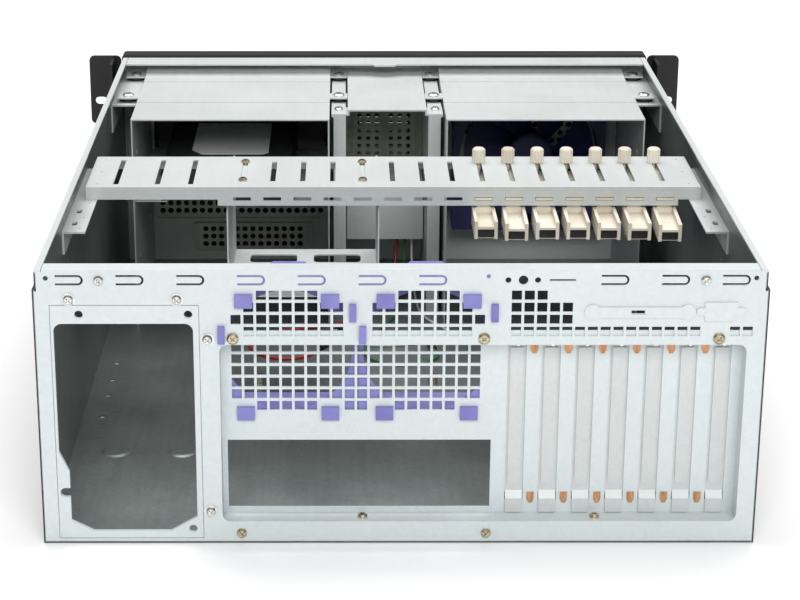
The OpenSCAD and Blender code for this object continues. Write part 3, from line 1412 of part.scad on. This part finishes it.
module cage_screws() color([0.80, 0.76, 0.66]) from_rear() mirror_pair() {
    for (x = [inner_screw_x, outer_screw_x], y = ear_y) translate([x, y, cage_z]) screw(head_r = cage_head_r, len = cage_screw_l);
    translate([inner_screw_x, bridge_screw_y, rail_z + sheet_t]) screw(head_r = wide_head_r);
}
cage_head_r = 4.4;
cage_screw_l = 8;

module cage_grommets() color([0.10, 0.09, 0.10]) from_rear() mirror_pair()
    for (x = [inner_screw_x, outer_screw_x], y = ear_y) translate([x, y, rail_z]) difference() {
        cylinder(r = grommet_r, h = grommet_h);
        translate([0, 0, -cut]) cylinder(r = screw_hole_r, h = grommet_h + 2 * cut);
    }

// Leads of the switch board, loose on the floor
lead_r = 1;
lead_sides = 8;
lead_steps = 2;
red_route = [
    [10, 0, 46], [10, 0, 36], [9, -2, 26], [8, -9, 16], [5, -20, 8], [1, -34, 3.4], [-5, -50, 2.3],
    [-14, -68, 2.3], [-26, -86, 2.3], [-44, -101, 2.3], [-65, -108, 2.3], [-86, -115, 2.3], [-100, -128, 2.3],
    [-104, -146, 2.3], [-95, -163, 2.3], [-77, -171, 2.3], [-60, -165, 2.3], [-51, -150, 2.3]
];
white_route = [
    [22, 0, 46], [22, 0, 36], [22, -2, 26], [22.5, -10, 16], [23, -22, 8], [24, -38, 3.4], [25, -54, 2.3],
    [27, -72, 2.3], [33, -90, 2.3], [42, -104, 2.3], [46, -118, 2.3], [37, -132, 2.3], [20, -140, 2.3],
    [-1, -144, 2.3], [-20, -142, 2.3], [-38, -134, 2.3], [-46, -122, 2.3], [-38, -111, 2.3]
];
green_route = [
    [16, 0, 46], [16, 0, 36], [16, -3, 26], [15, -12, 17], [13, -24, 9], [11, -38, 4], [9, -56, 2.3],
    [7, -76, 2.3], [2, -94, 2.3], [-6, -112, 2.3], [-12, -128, 4.4], [-17, -146, 6.4], [-18, -162, 4],
    [-9, -176, 2.3], [8, -183, 2.3], [26, -179, 2.3], [37, -166, 2.3], [34, -152, 2.3]
];
plug_l = 14;
plug_wide = 5;
plug_thick = 2.6;

// Routes start in the middle of the box, so y counts from there
function placed(route) = [for (p = route) p + [0, box_y + lead_in, 0]];

function between(p, i, t) = let (
    a = p[max(i - 1, 0)], b = p[i], c = p[i + 1], d = p[min(i + 2, len(p) - 1)]
) (2 * b + (c - a) * t + (2 * a - 5 * b + 4 * c - d) * t * t + (3 * b - a - 3 * c + d) * t * t * t) / 2;

function smooth(p) = concat(
    [for (i = [0:len(p) - 2], k = [0:lead_steps - 1]) between(p, i, k / lead_steps)], [p[len(p) - 1]]
);

function unit(v) = v / norm(v);
function heading(c, i) = unit(c[min(i + 1, len(c) - 1)] - c[max(i - 1, 0)]);

// Sideways direction of each ring, carried along the curve without twist
function carried(c, side = [1, 0, 0], i = 0) = i == len(c) ? [] : let (
    t = heading(c, i), s = unit(side - (side * t) * t)
) concat([s], carried(c, s, i + 1));

module lead(route) {
    c = smooth(placed(route));
    s = carried(c);
    n = lead_sides;
    rings = len(c);
    points = [for (i = [0:rings - 1], k = [0:n - 1]) let (t = heading(c, i), a = 360 * k / n)
        c[i] + lead_r * (cos(a) * s[i] + sin(a) * cross(t, s[i]))];
    polyhedron(points, concat(
        [[for (k = [0:n - 1]) k]], [[for (k = [n - 1:-1:0]) (rings - 1) * n + k]],
        [for (i = [0:rings - 2], k = [0:n - 1]) [i * n + k, (i + 1) * n + k, (i + 1) * n + (k + 1) % n]],
        [for (i = [0:rings - 2], k = [0:n - 1]) [i * n + k, (i + 1) * n + (k + 1) % n, i * n + (k + 1) % n]]
    ));
}

module lead_red() color([0.75, 0.12, 0.10]) from_rear() lead(red_route);
module lead_white() color([0.90, 0.90, 0.88]) from_rear() lead(white_route);
module lead_green() color([0.10, 0.45, 0.20]) from_rear() lead(green_route);

// Small plugs on the leads' ends
module lead_plugs() color([0.08, 0.08, 0.09]) from_rear() for (route = [red_route, white_route, green_route]) {
    r = placed(route);
    end = r[len(r) - 1];
    d = end - r[len(r) - 2];
    translate([end.x, end.y, sheet_t]) rotate(atan2(d.y, d.x))
        slab([play / 2, -plug_wide / 2, 0], [plug_l, plug_wide / 2, plug_thick]);
}

chassis_tub();
rear_panel();
psu_plate();
io_slot_plate();
slot_covers();
contact_springs();
rear_fan_holder_left();
rear_fan_holder_right();
card_bar();
bar_brackets();
card_retainer_1();
card_retainer_2();
card_retainer_3();
card_retainer_4();
card_retainer_5();
card_retainer_6();
card_retainer_7();
retainer_knob_1();
retainer_knob_2();
retainer_knob_3();
retainer_knob_4();
retainer_knob_5();
retainer_knob_6();
retainer_knob_7();
hdd_bracket();
storage_drive();
drive_cage_left();
drive_cage_right();
cage_rails();
centre_uprights();
centre_bridge();
control_box();
centre_vent_panel();
bay_blanks();
front_panel();
front_fan_bracket();
front_fan_frame();
front_fan_rotor();
front_bezel();
bay_covers();
front_door();
door_lock();
dust_filter();
power_button();
reset_button();
status_lenses();
rack_ear_left();
rack_ear_right();
grab_handle_left();
grab_handle_right();
board_standoffs();
panel_screws();
frame_screws();
cage_screws();
cage_grommets();
lead_red();
lead_white();
lead_green();
lead_plugs();
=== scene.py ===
"""Looks of the rack chassis: finishes, leads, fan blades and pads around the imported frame."""
import json
import math

import bmesh
import bpy
from mathutils import Matrix, Vector


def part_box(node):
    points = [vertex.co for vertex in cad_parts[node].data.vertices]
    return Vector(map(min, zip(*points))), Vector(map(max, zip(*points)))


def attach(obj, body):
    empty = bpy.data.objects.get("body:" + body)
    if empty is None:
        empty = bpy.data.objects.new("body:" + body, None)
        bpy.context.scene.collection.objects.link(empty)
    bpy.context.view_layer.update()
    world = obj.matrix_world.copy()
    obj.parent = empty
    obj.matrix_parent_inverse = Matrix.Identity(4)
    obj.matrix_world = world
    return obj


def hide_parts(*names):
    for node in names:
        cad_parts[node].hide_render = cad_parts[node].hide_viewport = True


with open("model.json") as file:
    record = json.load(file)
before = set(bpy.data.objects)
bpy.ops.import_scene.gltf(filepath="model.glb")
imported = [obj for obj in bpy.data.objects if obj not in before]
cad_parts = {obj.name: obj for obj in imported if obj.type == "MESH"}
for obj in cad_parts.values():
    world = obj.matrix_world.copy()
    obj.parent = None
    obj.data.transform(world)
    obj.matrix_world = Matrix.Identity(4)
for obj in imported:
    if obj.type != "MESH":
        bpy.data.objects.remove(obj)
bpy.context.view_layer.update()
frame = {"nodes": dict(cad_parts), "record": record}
nodes = frame["nodes"]

MM = 0.001
# The frame's y of the rear face, from the tub
REAR_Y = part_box("chassis_tub")[0].y
BODY_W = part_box("chassis_tub")[1].x * 2
BODY_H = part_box("chassis_tub")[1].z
SHEET_T = 1.2 * MM
BEVEL_STEPS = 3


def rear(x, y, z):
    """A point given in millimetres from the middle of the rear face, on the ground."""
    return Vector((x * MM, REAR_Y + y * MM, z * MM))


def new_piece(name, bm, smooth_angle=35):
    """A mesh piece out of a bmesh, smooth up to an angle."""
    mesh = bpy.data.meshes.new(name)
    bm.to_mesh(mesh)
    bm.free()
    piece = bpy.data.objects.new(name, mesh)
    bpy.context.scene.collection.objects.link(piece)
    mesh.polygons.foreach_set("use_smooth", [True] * len(mesh.polygons))
    mesh.set_sharp_from_angle(angle=math.radians(smooth_angle))
    return piece


def block(bm, low, high, bevel=0.0):
    """A block between two corners, with rounded edges."""
    made = bmesh.ops.create_cube(bm, size=1)["verts"]
    low, high = Vector(low), Vector(high)
    bmesh.ops.scale(bm, vec=high - low, verts=made)
    bmesh.ops.translate(bm, vec=(low + high) / 2, verts=made)
    if bevel:
        edges = {e for v in made for e in v.link_edges}
        bmesh.ops.bevel(bm, geom=list(edges), offset=bevel, segments=BEVEL_STEPS, affect="EDGES", clamp_overlap=True)


# Camera: angles in degrees, focal length and shift in pixels of the photo's frame

CAM_PLACE = rear(-33.6, -1150.6, 574.9)
CAM_PITCH = 18.62
CAM_YAW = 0.08
CAM_F_PX = 2100
CAM_SHIFT_PX = (-54, -50)
FRAME_PX = (800, 600)
SENSOR = 36
CAM_CLIP = (0.05, 20)


def make_camera():
    data = bpy.data.cameras.new("camera")
    data.sensor_width = SENSOR
    data.lens = CAM_F_PX / FRAME_PX[0] * SENSOR
    data.shift_x = -CAM_SHIFT_PX[0] / FRAME_PX[0]
    data.shift_y = CAM_SHIFT_PX[1] / FRAME_PX[0]
    data.clip_start, data.clip_end = CAM_CLIP
    camera = bpy.data.objects.new("camera", data)
    camera.location = CAM_PLACE
    camera.rotation_euler = (math.radians(90 - CAM_PITCH), 0, math.radians(-CAM_YAW))
    bpy.context.scene.collection.objects.link(camera)
    bpy.context.scene.camera = camera


make_camera()


# Leads of the switch board, along the points that the frame's solids follow

LEAD_D = 2 * MM
LEAD_STEPS = 6
LEAD_START_Y = 468
ROUTES = {
    "red": [
        (10, 0, 46), (10, 0, 36), (9, -2, 26), (8, -9, 16), (5, -20, 8), (1, -34, 3.4), (-5, -50, 2.3),
        (-14, -68, 2.3), (-26, -86, 2.3), (-44, -101, 2.3), (-65, -108, 2.3), (-86, -115, 2.3), (-100, -128, 2.3),
        (-104, -146, 2.3), (-95, -163, 2.3), (-77, -171, 2.3), (-60, -165, 2.3), (-51, -150, 2.3),
    ],
    "white": [
        (22, 0, 46), (22, 0, 36), (22, -2, 26), (22.5, -10, 16), (23, -22, 8), (24, -38, 3.4), (25, -54, 2.3),
        (27, -72, 2.3), (33, -90, 2.3), (42, -104, 2.3), (46, -118, 2.3), (37, -132, 2.3), (20, -140, 2.3),
        (-1, -144, 2.3), (-20, -142, 2.3), (-38, -134, 2.3), (-46, -122, 2.3), (-38, -111, 2.3),
    ],
    "green": [
        (16, 0, 46), (16, 0, 36), (16, -3, 26), (15, -12, 17), (13, -24, 9), (11, -38, 4), (9, -56, 2.3),
        (7, -76, 2.3), (2, -94, 2.3), (-6, -112, 2.3), (-12, -128, 4.4), (-17, -146, 6.4), (-18, -162, 4),
        (-9, -176, 2.3), (8, -183, 2.3), (26, -179, 2.3), (37, -166, 2.3), (34, -152, 2.3),
    ],
}


def smooth(points):
    """The curve through the points, as the frame's solids run."""
    points = [Vector(p) for p in points]
    out = []
    for i in range(len(points) - 1):
        a, b, c, d = points[max(i - 1, 0)], points[i], points[i + 1], points[min(i + 2, len(points) - 1)]
        for k in range(LEAD_STEPS):
            t = k / LEAD_STEPS
            out.append((2 * b + (c - a) * t + (2 * a - 5 * b + 4 * c - d) * t ** 2
                        + (3 * b - a - 3 * c + d) * t ** 3) / 2)
    return out + [points[-1]]


# Plug: length, width, height, then its collar behind and the two ribs on its back
PLUG = (14 * MM, 5 * MM, 2.6 * MM)
COLLAR_L = 1.3 * MM
COLLAR_SHARE = 0.8
PLUG_RIB = (4 * MM, 1 * MM, 0.3 * MM)
PLUG_RIB_X = 5 * MM
PLUG_RIB_Y = 1.3 * MM
PLUG_BEVEL = 0.25 * MM


def make_plug(colour, end, before):
    """Small female connector with a collar and two ribs on its back."""
    bm = bmesh.new()
    length, width, height = PLUG
    for x0, x1, w, h in ((0, length, width, height),
                         (-COLLAR_L, 0, width * COLLAR_SHARE, height * COLLAR_SHARE)):
        made = bmesh.ops.create_cube(bm, size=1)["verts"]
        bmesh.ops.scale(bm, vec=(x1 - x0, w, h), verts=made)
        bmesh.ops.translate(bm, vec=((x0 + x1) / 2, 0, height / 2), verts=made)
    for y in (-PLUG_RIB_Y, PLUG_RIB_Y):
        made = bmesh.ops.create_cube(bm, size=1)["verts"]
        bmesh.ops.scale(bm, vec=PLUG_RIB, verts=made)
        bmesh.ops.translate(bm, vec=(PLUG_RIB_X, y, height), verts=made)
    bmesh.ops.bevel(bm, geom=bm.edges[:], offset=PLUG_BEVEL, segments=2, affect="EDGES", clamp_overlap=True)
    piece = new_piece("plug_" + colour, bm)
    along = Vector(end) - Vector(before)
    piece.matrix_world = Matrix.Translation(rear(end[0], end[1], SHEET_T / MM)) @ Matrix.Rotation(
        math.atan2(along.y, along.x), 4, "Z")
    return piece


def make_leads():
    for colour, steps in ROUTES.items():
        route = [(x, LEAD_START_Y + y, z) for x, y, z in steps]
        points = [rear(*p) for p in smooth(route)]
        data = bpy.data.curves.new("lead_" + colour, "CURVE")
        data.dimensions = "3D"
        data.bevel_depth = LEAD_D / 2
        data.bevel_resolution = 4
        data.use_fill_caps = True
        spline = data.splines.new("POLY")
        spline.points.add(len(points) - 1)
        for knot, p in zip(spline.points, points):
            knot.co = (*p, 1)
        lead = bpy.data.objects.new("wire_" + colour, data)
        bpy.context.scene.collection.objects.link(lead)
        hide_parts("lead_" + colour)
        dress(lead, colour + "_insulation")
        plug = make_plug(colour, route[-1], route[-2])
        dress(plug, "black_plastic")
        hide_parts("lead_plugs")
        for piece in (lead, plug):
            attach(piece, "root")


# Materials

class Nodes:
    """A short way to build one material's node tree."""

    def __init__(self, name):
        self.material = bpy.data.materials.new(name)
        self.material.use_nodes = True
        self.tree = self.material.node_tree
        self.shader = self.tree.nodes["Principled BSDF"]
        self.coords = self.add("ShaderNodeTexCoord").outputs["Object"]

    def add(self, kind, inputs=None, **values):
        node = self.tree.nodes.new(kind)
        for key, value in values.items():
            setattr(node, key, value)
        for key, value in (inputs or {}).items():
            self.put(node.inputs[key], value)
        return node

    def put(self, socket, value):
        if isinstance(value, bpy.types.NodeSocket):
            self.tree.links.new(value, socket)
        else:
            socket.default_value = value

    def math(self, operation, a, b=0.0, clamp=False):
        node = self.add("ShaderNodeMath", operation=operation, use_clamp=clamp)
        self.put(node.inputs[0], a)
        self.put(node.inputs[1], b)
        return node.outputs[0]

    def xyz(self, vector=None):
        return self.add("ShaderNodeSeparateXYZ", {0: vector or self.coords}).outputs

    def scaled(self, scale, vector=None):
        return self.add("ShaderNodeMapping", {"Vector": vector or self.coords, "Scale": scale}).outputs[0]

    def noise(self, scale, detail=3.0, vector=None):
        node = self.add("ShaderNodeTexNoise", {"Vector": vector or self.coords, "Scale": scale, "Detail": detail})
        return node.outputs["Fac"]

    def cells(self, scale, vector=None, output="Color"):
        return self.add("ShaderNodeTexVoronoi", {"Vector": vector or self.coords, "Scale": scale}).outputs[output]

    def ramp(self, value, low, high, to_low=0.0, to_high=1.0):
        node = self.add("ShaderNodeMapRange", {"Value": value, "From Min": low, "From Max": high,
                                               "To Min": to_low, "To Max": to_high})
        return node.outputs[0]

    def mix(self, factor, a, b):
        node = self.add("ShaderNodeMix", data_type="RGBA")
        self.put(node.inputs[0], factor)
        self.put(node.inputs[6], a)
        self.put(node.inputs[7], b)
        return node.outputs[2]

    def bump(self, height, strength=0.2, distance=0.0002):
        node = self.add("ShaderNodeBump", {"Height": height, "Strength": strength, "Distance": distance})
        return node.outputs[0]

    def finish(self, **sockets):
        for key, value in sockets.items():
            self.put(self.shader.inputs[key.replace("_", " ")], value)
        return self.material


def rgb(r, g, b):
    """Linear colour from display values of 0 to 255."""
    def linear(c):
        c /= 255
        return c / 12.92 if c <= 0.04045 else ((c + 0.055) / 1.055) ** 2.4
    return (linear(r), linear(g), linear(b), 1.0)


# The tub's bare top lips reach this far down; they take a lighter, lit zinc colour set against the painted shade on
# the rest of the tub's zinc
LIT_LIP_BAND = 1.5 * MM
# The paint is on the tub's outer faces: within these distances of them, less deep below the stepped band
PAINT_SKIN = 0.8 * MM
PAINT_SKIN_TOP = 2.2 * MM
STEP_BAND = 12 * MM
PAINT_UNDER = 0.5 * MM


def zinc(name, light, dark, roughness=0.36, metallic=0.85, painted=False):
    """Zinc-plated sheet steel: soft spangle, rolling streaks and small stains."""
    m = Nodes(name)
    spangle = m.cells(55, m.add("ShaderNodeVectorMath", {0: m.coords, 1: m.add(
        "ShaderNodeTexNoise", {"Vector": m.coords, "Scale": 18.0}).outputs["Color"]}, operation="ADD").outputs[0])
    grain = m.noise(240, 4, m.scaled((1, 0.06, 1)))
    cloud = m.noise(5, 4)
    tone = m.math("ADD", m.math("MULTIPLY", cloud, 0.55), m.math("MULTIPLY", grain, 0.3))
    tone = m.math("ADD", tone, m.math("MULTIPLY", m.xyz(spangle)[0], 0.15))
    colour = m.mix(m.ramp(tone, 0.3, 0.7), dark, light)
    rough = m.ramp(m.noise(14, 5), 0.3, 0.7, roughness - 0.06, roughness + 0.1)
    normal = m.bump(grain, 0.08)
    metal = metallic
    if painted:
        x, y, z = m.xyz()
        side = m.math("ABSOLUTE", x)
        lower = m.math("GREATER_THAN", side, BODY_W / 2 - PAINT_SKIN)
        upper = m.math("MULTIPLY", m.math("GREATER_THAN", side, BODY_W / 2 - PAINT_SKIN_TOP),
                       m.math("GREATER_THAN", z, BODY_H - STEP_BAND))
        under = m.math("LESS_THAN", z, PAINT_UNDER)
        mask = m.math("MAXIMUM", m.math("MAXIMUM", lower, upper), under)
        speck = m.noise(1400, 2)
        paint = m.mix(speck, rgb(16, 16, 17), rgb(30, 30, 32))
        colour = m.mix(mask, colour, paint)
        rough = m.math("ADD", m.math("MULTIPLY", rough, m.math("SUBTRACT", 1.0, mask)), m.math("MULTIPLY", mask, 0.5))
        # Top lips: lighter lit zinc colour, the lit copy of the tub's zinc whose body is darkened as painted shade
        lit_lip = m.math("GREATER_THAN", z, BODY_H - LIT_LIP_BAND)
        colour = m.mix(lit_lip, colour, m.mix(cloud, rgb(188, 193, 192), rgb(212, 216, 215)))
        metal = m.math("MULTIPLY", m.math("SUBTRACT", 1.0, m.math("MAXIMUM", mask, lit_lip)), metallic)
    return m.finish(Base_Color=colour, Roughness=rough, Metallic=metal, Normal=normal)


def plastic(name, colour, darker, roughness=0.45, grain=900, strength=0.12, coat=0.0):
    """Moulded plastic with a fine grain and slight flow marks."""
    m = Nodes(name)
    flow = m.noise(30, 3)
    m.put(m.shader.inputs["Coat Weight"], coat)
    return m.finish(Base_Color=m.mix(m.ramp(flow, 0.35, 0.65), darker, colour),
                    Roughness=m.ramp(m.noise(60, 3), 0.3, 0.7, roughness - 0.06, roughness + 0.08),
                    Normal=m.bump(m.noise(grain, 2), strength, 0.00008))


def powder_coat(name, colour, lighter):
    m = Nodes(name)
    peel = m.noise(900, 3)
    return m.finish(Base_Color=m.mix(m.ramp(m.noise(12, 4), 0.3, 0.7), colour, lighter),
                    Roughness=m.ramp(peel, 0.3, 0.7, 0.38, 0.55), Normal=m.bump(peel, 0.3, 0.0001))


def drive_shell(name, colour, lighter):
    """Painted drive shell whose raised label field is bare light foil."""
    m = Nodes(name)
    peel = m.noise(700, 3)
    label = m.math("GREATER_THAN", m.xyz()[2], LABEL_Z * MM)
    foil = m.mix(m.ramp(m.noise(26, 4, m.scaled((1, 3, 1))), 0.35, 0.65), rgb(232, 233, 230), rgb(246, 246, 244))
    return m.finish(Base_Color=m.mix(label, m.mix(m.ramp(m.noise(12, 4), 0.3, 0.7), colour, lighter), foil),
                    Roughness=m.ramp(peel, 0.3, 0.7, 0.4, 0.55), Normal=m.bump(peel, 0.2, 0.0001))


def metal(name, colour, darker, roughness=0.25):
    m = Nodes(name)
    turned = m.noise(500, 3, m.scaled((1, 1, 0.2)))
    return m.finish(Base_Color=m.mix(m.ramp(turned, 0.3, 0.7), darker, colour), Metallic=1.0,
                    Roughness=m.ramp(m.noise(200, 3), 0.3, 0.7, roughness - 0.06, roughness + 0.1),
                    Normal=m.bump(turned, 0.1))


def rubber(name, colour, lighter):
    m = Nodes(name)
    dust = m.noise(120, 5)
    return m.finish(Base_Color=m.mix(m.ramp(dust, 0.45, 0.7), colour, lighter),
                    Roughness=m.ramp(dust, 0.3, 0.7, 0.6, 0.8),
                    Normal=m.bump(m.noise(700, 2), 0.25))


def foam(name):
    m = Nodes(name)
    pores = m.cells(900, output="Distance")
    return m.finish(Base_Color=m.mix(m.ramp(pores, 0.1, 0.5), rgb(12, 12, 13), rgb(52, 52, 55)), Roughness=0.9,
                    Normal=m.bump(pores, 0.8, 0.0006))


# The label's face stands above the drive's lid
LABEL_Z = 124.2

LOOKS = {
    "zinc_steel": zinc("zinc_steel", rgb(204, 208, 207), rgb(193, 198, 197), roughness=0.5, metallic=0.22),
    # The tub's zinc is much darker than the other zinc sheets: painted shade for the dim inside of the chassis
    "zinc_tub_painted_shade": zinc("zinc_tub_painted_shade", rgb(142, 149, 147), rgb(118, 125, 123), metallic=0.6, painted=True),
    "zinc_front": zinc("zinc_front", rgb(211, 218, 219), rgb(200, 208, 210), roughness=0.45, metallic=0.25),
    "zinc_dark": zinc("zinc_dark", rgb(150, 152, 142), rgb(122, 124, 116), roughness=0.45, metallic=0.4),
    "zinc_blank": zinc("zinc_blank", rgb(196, 198, 188), rgb(172, 174, 165), roughness=0.45, metallic=0.3),
    "black_steel": powder_coat("black_steel", rgb(13, 13, 14), rgb(26, 26, 28)),
    "violet_plastic": plastic("violet_plastic", rgb(128, 127, 190), rgb(108, 106, 172)),
    "ivory_plastic": plastic("ivory_plastic", rgb(228, 221, 206), rgb(208, 199, 181), roughness=0.5),
    "navy_plastic": plastic("navy_plastic", rgb(52, 50, 100), rgb(34, 33, 74)),
    "black_plastic": plastic("black_plastic", rgb(24, 24, 26), rgb(14, 14, 15), roughness=0.42),
    "grey_plastic": plastic("grey_plastic", rgb(150, 152, 156), rgb(120, 122, 126)),
    "clear_lens": plastic("clear_lens", rgb(170, 220, 180), rgb(130, 190, 145), roughness=0.2, coat=0.6),
    "copper_spring": metal("copper_spring", rgb(206, 158, 120), rgb(168, 118, 84), 0.36),
    "brass_thread": metal("brass_thread", rgb(214, 204, 178), rgb(168, 154, 122), 0.3),
    "bright_screw": metal("bright_screw", rgb(236, 236, 232), rgb(190, 190, 186), 0.2),
    "black_rubber": rubber("black_rubber", rgb(20, 19, 20), rgb(44, 42, 43)),
    "drive_shell": drive_shell("drive_shell", rgb(30, 30, 32), rgb(50, 50, 53)),
    "filter_foam": foam("filter_foam"),
    "red_insulation": plastic("red_insulation", rgb(200, 36, 30), rgb(158, 22, 20), 0.35, coat=0.3),
    "white_insulation": plastic("white_insulation", rgb(236, 234, 228), rgb(214, 212, 204), 0.35, coat=0.3),
    "green_insulation": plastic("green_insulation", rgb(38, 128, 66), rgb(24, 92, 46), 0.35, coat=0.3),
}

# The chassis tub takes the darkened zinc, painted shade for its dim inside
LOOK_OF_NODE = {
    "chassis_tub": "zinc_tub_painted_shade", "rear_panel": "zinc_front", "psu_plate": "zinc_front", "io_slot_plate": "zinc_front",
    "bay_blanks": "zinc_blank", "centre_vent_panel": "zinc_dark",
}


def dress(piece, look):
    piece.data.materials.clear()
    piece.data.materials.append(LOOKS[look])


def dress_frame():
    slots = {s["node"]: s["material_slot"] for s in frame["record"]["subparts"]}
    for name, node in nodes.items():
        dress(node, LOOK_OF_NODE.get(name, slots[name]))


dress_frame()
make_leads()


# Pads between the legs of the card retainers

REST_TILT = (0, 3, 0.8, 0.8, 1.5, 2.2, 4.5)
DASH_Z = 156.7
PIVOT_Y = 198.6
PAD_LOW = Vector((-5.4, -29.6, -17.8))
PAD_HIGH = Vector((5.4, -25.6, -12.1))


def make_pads():
    for i, tilt in enumerate(REST_TILT, 1):
        low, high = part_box("card_retainer_%d" % i)
        bm = bmesh.new()
        block(bm, PAD_LOW * MM, PAD_HIGH * MM, 0.5 * MM)
        pad = new_piece("retainer_pad_%d" % i, bm)
        pivot = rear(0, PIVOT_Y, DASH_Z)
        pivot.x = (low.x + high.x) / 2
        pad.matrix_world = Matrix.Translation(pivot) @ Matrix.Rotation(math.radians(tilt), 4, "X")
        dress(pad, "black_rubber")
        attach(pad, "card_retainer_%d" % i)


# Fan rotor with curved blades and a domed hub

BLADES = 7
BLADE_ROWS = 10
BLADE_COLUMNS = 8
HUB_R = 18.5 * MM
TIP_R = 53.4 * MM
RING_STEPS = 48
# The hub's dome: share of its radius, height behind the frame's face in mm
HUB_DOME = [(0, 1.4), (0.5, 1.2), (0.8, 1.3), (0.93, 1.9), (1.0, 3.2), (1.0, 12)]
BLADE_ROOT_SHARE = 0.97
BLADE_T = 1.2
BLADE_TAPER = 0.4
BLADE_SWEEP = 0.38
BLADE_ANGLE = 0.72
BLADE_WIDENS = 0.12
BLADE_MID_Y = 11.2
BLADE_RISE = 15
BLADE_CAMBER = 1.6
MERGE = 1e-6


def make_rotor():
    low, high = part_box("front_fan_rotor")
    centre = (low + high) / 2
    centre.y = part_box("front_fan_frame")[0].y
    depth = (high.y - centre.y) / MM
    bm = bmesh.new()
    rows = []
    for r, y in HUB_DOME + [(1.0, depth), (0.0, depth)]:
        turns = [2 * math.pi * k / RING_STEPS for k in range(RING_STEPS)]
        rows.append([bm.verts.new((r * HUB_R * math.cos(t), y * MM, r * HUB_R * math.sin(t))) for t in turns])
    for a, b in zip(rows, rows[1:]):
        for k in range(RING_STEPS):
            after = (k + 1) % RING_STEPS
            bm.faces.new((a[k], a[after], b[after], b[k]))
    bmesh.ops.remove_doubles(bm, verts=bm.verts[:], dist=MERGE)
    root = HUB_R * BLADE_ROOT_SHARE
    for blade in range(BLADES):
        base = 2 * math.pi * blade / BLADES
        grids = []
        for side in (-BLADE_T / 2, BLADE_T / 2):
            grid = []
            for i in range(BLADE_ROWS + 1):
                u = i / BLADE_ROWS
                r = root + u * (TIP_R - root)
                row = []
                for j in range(BLADE_COLUMNS + 1):
                    v = j / BLADE_COLUMNS - 0.5
                    angle = base + BLADE_SWEEP * u + v * (BLADE_ANGLE + BLADE_WIDENS * u)
                    y = (BLADE_MID_Y - v * BLADE_RISE + math.cos(math.pi * v) * BLADE_CAMBER
                         + side * (1 - 2 * abs(v)) ** BLADE_TAPER)
                    row.append(bm.verts.new((r * math.cos(angle), y * MM, r * math.sin(angle))))
                grid.append(row)
            grids.append(grid)
        for n, grid in enumerate(grids):
            for i in range(BLADE_ROWS):
                for j in range(BLADE_COLUMNS):
                    face = (grid[i][j], grid[i + 1][j], grid[i + 1][j + 1], grid[i][j + 1])
                    bm.faces.new(face if n else face[::-1])
        for i in (0, BLADE_ROWS):
            for j in range(BLADE_COLUMNS):
                bm.faces.new((grids[0][i][j], grids[0][i][j + 1], grids[1][i][j + 1], grids[1][i][j]))
    bmesh.ops.remove_doubles(bm, verts=bm.verts[:], dist=MERGE)
    bmesh.ops.recalc_face_normals(bm, faces=bm.faces[:])
    rotor = new_piece("fan_blades", bm, 40)
    rotor.location = centre
    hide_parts("front_fan_rotor")
    dress(rotor, "navy_plastic")
    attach(rotor, "front_fan_rotor")


make_pads()
make_rotor()


# Floor and light

FLOOR_DROP = 0.0002
FLOOR_HALF = 6


def make_floor():
    mesh = bpy.data.meshes.new("floor")
    corners = [(x * FLOOR_HALF, y * FLOOR_HALF, -FLOOR_DROP) for x, y in ((-1, -1), (1, -1), (1, 1), (-1, 1))]
    mesh.from_pydata(corners, [], [(0, 1, 2, 3)])
    floor = bpy.data.objects.new("floor", mesh)
    bpy.context.scene.collection.objects.link(floor)
    m = Nodes("floor_paper")
    paper = m.mix(m.noise(3, 2), rgb(244, 244, 244), rgb(250, 250, 250))
    floor.data.materials.append(m.finish(Base_Color=paper, Roughness=0.9))


def area_light(name, place, target, size, power):
    data = bpy.data.lights.new(name, "AREA")
    data.shape = "RECTANGLE"
    data.size, data.size_y = size
    data.energy = power
    light = bpy.data.objects.new(name, data)
    light.location = place
    light.rotation_euler = (Vector(target) - Vector(place)).to_track_quat("-Z", "Y").to_euler()
    bpy.context.scene.collection.objects.link(light)


WORLD_STRENGTH = 0.24


def make_light():
    world = bpy.data.worlds.new("studio")
    bpy.context.scene.world = world
    world.use_nodes = True
    background = world.node_tree.nodes["Background"]
    background.inputs["Color"].default_value = (1, 1, 1, 1)
    background.inputs["Strength"].default_value = WORLD_STRENGTH
    area_light("key", (0.15, -2.3, 1.7), (0, -0.1, 0.05), (2.2, 1.2), 52)
    area_light("top", (0, 0.9, 2.6), (0, 0.5, 0), (3.2, 2.4), 88)
    bpy.context.scene.view_settings.view_transform = "Standard"


make_floor()
make_light()
